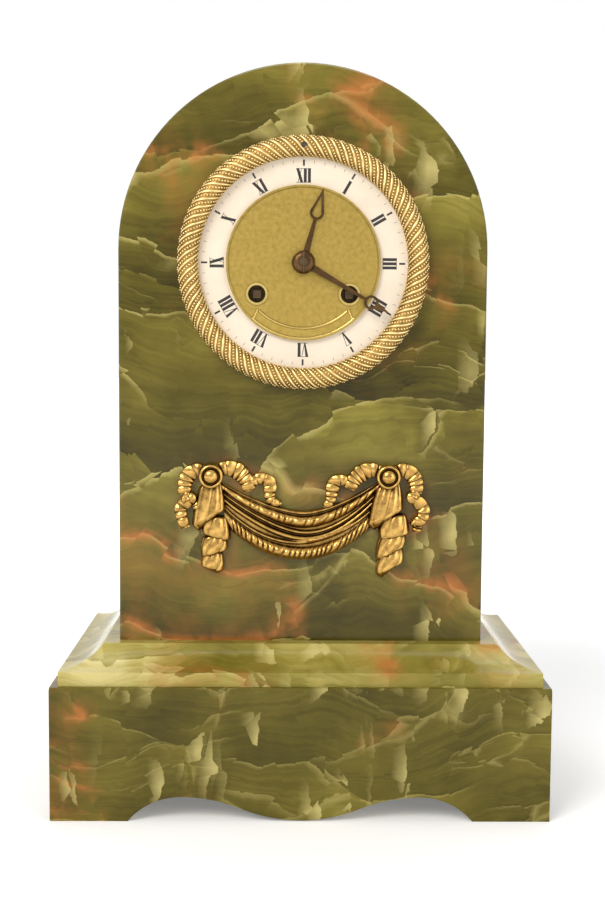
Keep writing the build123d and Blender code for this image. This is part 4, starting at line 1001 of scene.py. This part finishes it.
def ribbon(path, widths, ruffles, lift):
    """Ruffled flat band along points, facing the front."""
    start, middle, end = widths

    def band(u, v):
        x, z = spline(path, u)
        ax, az = spline(path, u - TANGENT_STEP)
        bx, bz = spline(path, u + TANGENT_STEP)
        run = math.hypot(bx - ax, bz - az) or 1.0
        nx, nz = -(bz - az) / run, (bx - ax) / run
        if u < 0.5:
            width = start + (middle - start) * 2 * u
        else:
            width = middle + (end - middle) * (2 * u - 1)
        ruffle = gather(ruffles * u + 0.25 * math.sin(9 * u) + 0.12 * v)
        across = (v - 0.5) * width * (1 + RIBBON_FLARE * ruffle)
        rim = abs(2 * v - 1)
        share = RUFFLE_AT_MIDDLE + (1 - RUFFLE_AT_MIDDLE) * rim
        height = lift + RIBBON_CROWN * (1 - rim**2) + RIBBON_RUFFLE * ruffle * share
        height += RIBBON_WAVE * math.sin(3 * math.pi * u)
        return (x + nx * across, -max(RIBBON_LEAST, height), z + nz * across)

    return grid(band, *RIBBON_MESH)


def build_bow(name, loops):
    """Ruffled ribbon loops beside a rosette, every second one a little higher."""
    lifts = [RIBBON_LIFT + RIBBON_LIFT_STEP * (order % 2) for order in range(len(loops))]
    parts = [ribbon(*loop, lift) for loop, lift in zip(loops, lifts)]
    bow = joined(name + "_gilt", [(GILT, parts)])
    thicken(bow, RIBBON_T, 0.0)
    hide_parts(name)
    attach(bow, "case")


# Cuffs: top, bottom, half widths at top and bottom, slant of the hems, pleats
LEFT_TAIL = [
    ((-41.8, 149.0), (-42.2, 130.2), 4.6, 7.8, 4.2, 5),
    ((-39.6, 133.6), (-38.4, 122.2), 5.4, 6.2, -1.6, 4),
    ((-39.6, 124.6), (-39.6, 115.0), 5.2, 5.8, 1.8, 4),
    ((-40.2, 117.2), (-40.6, 107.8), 4.2, 4.8, -1.2, 4),
]
RIGHT_TAIL = [
    ((39.2, 149.0), (38.0, 130.8), 5.0, 8.4, 4.0, 5),
    ((41.6, 134.4), (42.4, 122.8), 5.8, 6.8, 1.4, 4),
    ((41.4, 126.0), (40.6, 115.4), 5.6, 6.6, 3.4, 4),
    ((40.8, 118.6), (40.4, 108.2), 5.0, 6.2, 3.2, 4),
]
CUFF_SWELL = 0.8
CUFF_PLEAT = 0.4
CUFF_DEPTH = 0.74
CUFF_BACK = 0.1
# Rolled ends of a cuff: share of its length and how far they draw in
CUFF_HEM = (0.16, 0.4)
CUFF_NECK = (0.12, 0.3)
CUFF_MESH = (90, 26)
TAIL_T = 0.5


def gathered_cuff(top, bottom, top_w, bottom_w, slant, pleats):
    """Half-round gathered sleeve with rolled hems and slanting pleats."""
    def sleeve(u, v):
        turn = math.pi * u
        x, z = between(top, bottom, v)
        hem = max(0.0, 1 - (1 - v) / CUFF_HEM[0])
        neck = max(0.0, 1 - v / CUFF_NECK[0])
        roll = 1 - CUFF_HEM[1] * hem**2 - CUFF_NECK[1] * neck**2
        swell = (top_w + (bottom_w - top_w) * v + CUFF_SWELL * math.sin(math.pi * v)) * roll
        side = -math.cos(turn)
        pleat = CUFF_PLEAT * gather(pleats * u + 0.7 * v + 0.2 * math.sin(6 * u)) * math.sin(turn)
        depth = CUFF_DEPTH * swell * math.sin(turn) ** 0.7
        return (x + swell * side, -(CUFF_BACK + depth + pleat), z + slant * side * (0.3 + 0.7 * v))

    return grid(sleeve, *CUFF_MESH)


def build_tail(name, cuffs):
    """Cloth end wrapped into gathered cuffs below a rosette."""
    tail = joined(name + "_gilt", [(GILT, [gathered_cuff(*cuff) for cuff in cuffs])])
    thicken(tail, TAIL_T, -1.0)
    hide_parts(name)
    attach(tail, "case")


ROSETTES = ((-41.0, 151.6), (39.2, 151.6))
ROSETTE_MESH = (40, 52)
# Profile: radius and place behind the case front, from the dome to the stud
ROSETTE_PROFILE = [
    (0.0, -9.0), (1.5, -8.8), (2.7, -8.1), (3.3, -7.2), (3.5, -6.8), (3.7, -6.7), (3.9, -7.0),
    (4.5, -7.5), (5.2, -7.2), (5.5, -6.2), (5.4, -4.6), (4.4, -4.2), (3.4, -4.0), (3.4, -0.2),
]


def rosette(x, z):
    """Round boss with a raised rim and a domed middle."""
    def boss(u, v):
        r, s = spline(ROSETTE_PROFILE, v)
        turn = 2 * math.pi * u
        return (x + max(r, 0.0) * math.cos(turn), s, z + max(r, 0.0) * math.sin(turn))

    return grid(boss, *ROSETTE_MESH, close_u=True)


def build_rosettes():
    """The two bosses from which the drapery hangs."""
    bosses = joined("rosettes_gilt", [(GILT, [rosette(x, z) for x, z in ROSETTES])])
    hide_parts("rosettes")
    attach(bosses, "case")


# Stage, light and camera, in metres
FLOOR_HALF = 6.0
FLOOR_GREY = 0.88
GLOW_NEAR = 0.25
GLOW_FAR = 0.8
GLOW_LOW = 0.2
WORLD_LEVEL = 0.46
WHITE = (1.0, 1.0, 1.0, 1.0)


def background_rays(tree):
    """One for the rays that show the white background: camera, glossy and transmission rays."""
    path = put(tree, "ShaderNodeLightPath")
    seen = maths(tree, "MAXIMUM", path.outputs["Is Camera Ray"], path.outputs["Is Glossy Ray"])
    return maths(tree, "MAXIMUM", seen, path.outputs["Is Transmission Ray"])


def floor_finish():
    """Pale floor that fades to white away from the clock."""
    mat, tree, shader = new_material("pale_floor")
    shader.inputs["Base Color"].default_value = (FLOOR_GREY, FLOOR_GREY, FLOOR_GREY, 1.0)
    shader.inputs["Roughness"].default_value = 0.9
    shader.inputs["Emission Color"].default_value = WHITE
    away = length(tree, put(tree, "ShaderNodeTexCoord").outputs["Object"])
    values = {0: away, 1: GLOW_NEAR, 2: GLOW_FAR, 3: GLOW_LOW, 4: 1.0}
    glow = put(tree, "ShaderNodeMapRange", values, interpolation_type="SMOOTHSTEP")
    shown = maths(tree, "MULTIPLY", glow.outputs[0], background_rays(tree))
    tree.links.new(shown, shader.inputs["Emission Strength"])
    return mat


def build_stage():
    """Pale floor and white surround."""
    mesh = bpy.data.meshes.new("floor")
    corners = [(-1, -1), (1, -1), (1, 1), (-1, 1)]
    mesh.from_pydata([(x * FLOOR_HALF, y * FLOOR_HALF, 0) for x, y in corners], [], [(0, 1, 2, 3)])
    mesh.materials.append(floor_finish())
    floor = bpy.data.objects.new("floor", mesh)
    bpy.context.scene.collection.objects.link(floor)
    world = bpy.data.worlds.new("studio")
    world.use_nodes = True
    bpy.context.scene.world = world
    tree = world.node_tree
    back = tree.nodes["Background"]
    level = put(tree, "ShaderNodeMapRange", {0: background_rays(tree), 3: WORLD_LEVEL, 4: 1.0})
    back.inputs["Color"].default_value = WHITE
    tree.links.new(level.outputs[0], back.inputs["Strength"])


def area_light(name, place, target, size, power, tint):
    """Soft square light aimed at a point."""
    data = bpy.data.lights.new(name, "AREA")
    data.size = size
    data.energy = power
    data.color = tint
    lamp = bpy.data.objects.new(name, data)
    bpy.context.scene.collection.objects.link(lamp)
    aim = Vector(target) - Vector(place)
    lamp.location = place
    lamp.rotation_euler = aim.to_track_quat("-Z", "Y").to_euler()


def build_lights():
    """Warm key from the upper left, weak fill from the right and a soft top light."""
    area_light(
        "key",
        place=(-0.9, -1.3, 1.3),
        target=(0, 0, 0.17),
        size=0.9,
        power=24.5,
        tint=(1.0, 0.96, 0.9),
    )
    area_light(
        "fill",
        place=(1.2, -1.1, 0.6),
        target=(0, 0, 0.17),
        size=1.0,
        power=6.4,
        tint=(1.0, 0.98, 0.95),
    )
    area_light(
        "top",
        place=(0.0, 0.3, 1.6),
        target=(0, 0, 0.2),
        size=1.0,
        power=8.4,
        tint=(1.0, 1.0, 1.0),
    )


# Camera: millimetres across, behind the case front and above the ground; turns in radians
CAMERA_AT = (-8.83, -606.8, 214.94)
CAMERA_YAW = 0.015
CAMERA_PITCH = -0.085
CAMERA_ROLL = 0.007
FOCAL_PX = 1339.5
IMAGE_H_PX = 900.0
SENSOR = 36.0


def build_camera():
    """Camera at the photograph's view."""
    level = math.cos(CAMERA_PITCH)
    ahead = Vector((math.sin(CAMERA_YAW) * level, math.cos(CAMERA_YAW) * level, math.sin(CAMERA_PITCH)))
    right = Vector((math.cos(CAMERA_YAW), -math.sin(CAMERA_YAW), 0.0))
    up = right.cross(ahead)
    across = math.cos(CAMERA_ROLL) * right + math.sin(CAMERA_ROLL) * up
    upward = -math.sin(CAMERA_ROLL) * right + math.cos(CAMERA_ROLL) * up
    data = bpy.data.cameras.new("camera")
    data.sensor_width = SENSOR
    data.lens = FOCAL_PX * SENSOR / IMAGE_H_PX
    camera = bpy.data.objects.new("camera", data)
    bpy.context.scene.collection.objects.link(camera)
    turn = Matrix((across, upward, -ahead)).transposed().to_4x4()
    camera.matrix_world = Matrix.Translation(clock_point(*CAMERA_AT)) @ turn
    bpy.context.scene.camera = camera


dress_cad_nodes()
build_bezel()
build_bezel_hole()
build_dial_marks()
build_cartouche()
build_swag()
build_bow("left_ribbon_bow", LEFT_BOW)
build_bow("right_ribbon_bow", RIGHT_BOW)
build_tail("left_drapery_tail", LEFT_TAIL)
build_tail("right_drapery_tail", RIGHT_TAIL)
build_rosettes()
build_stage()
build_lights()
build_camera()
bpy.context.scene.view_settings.view_transform = "Standard"
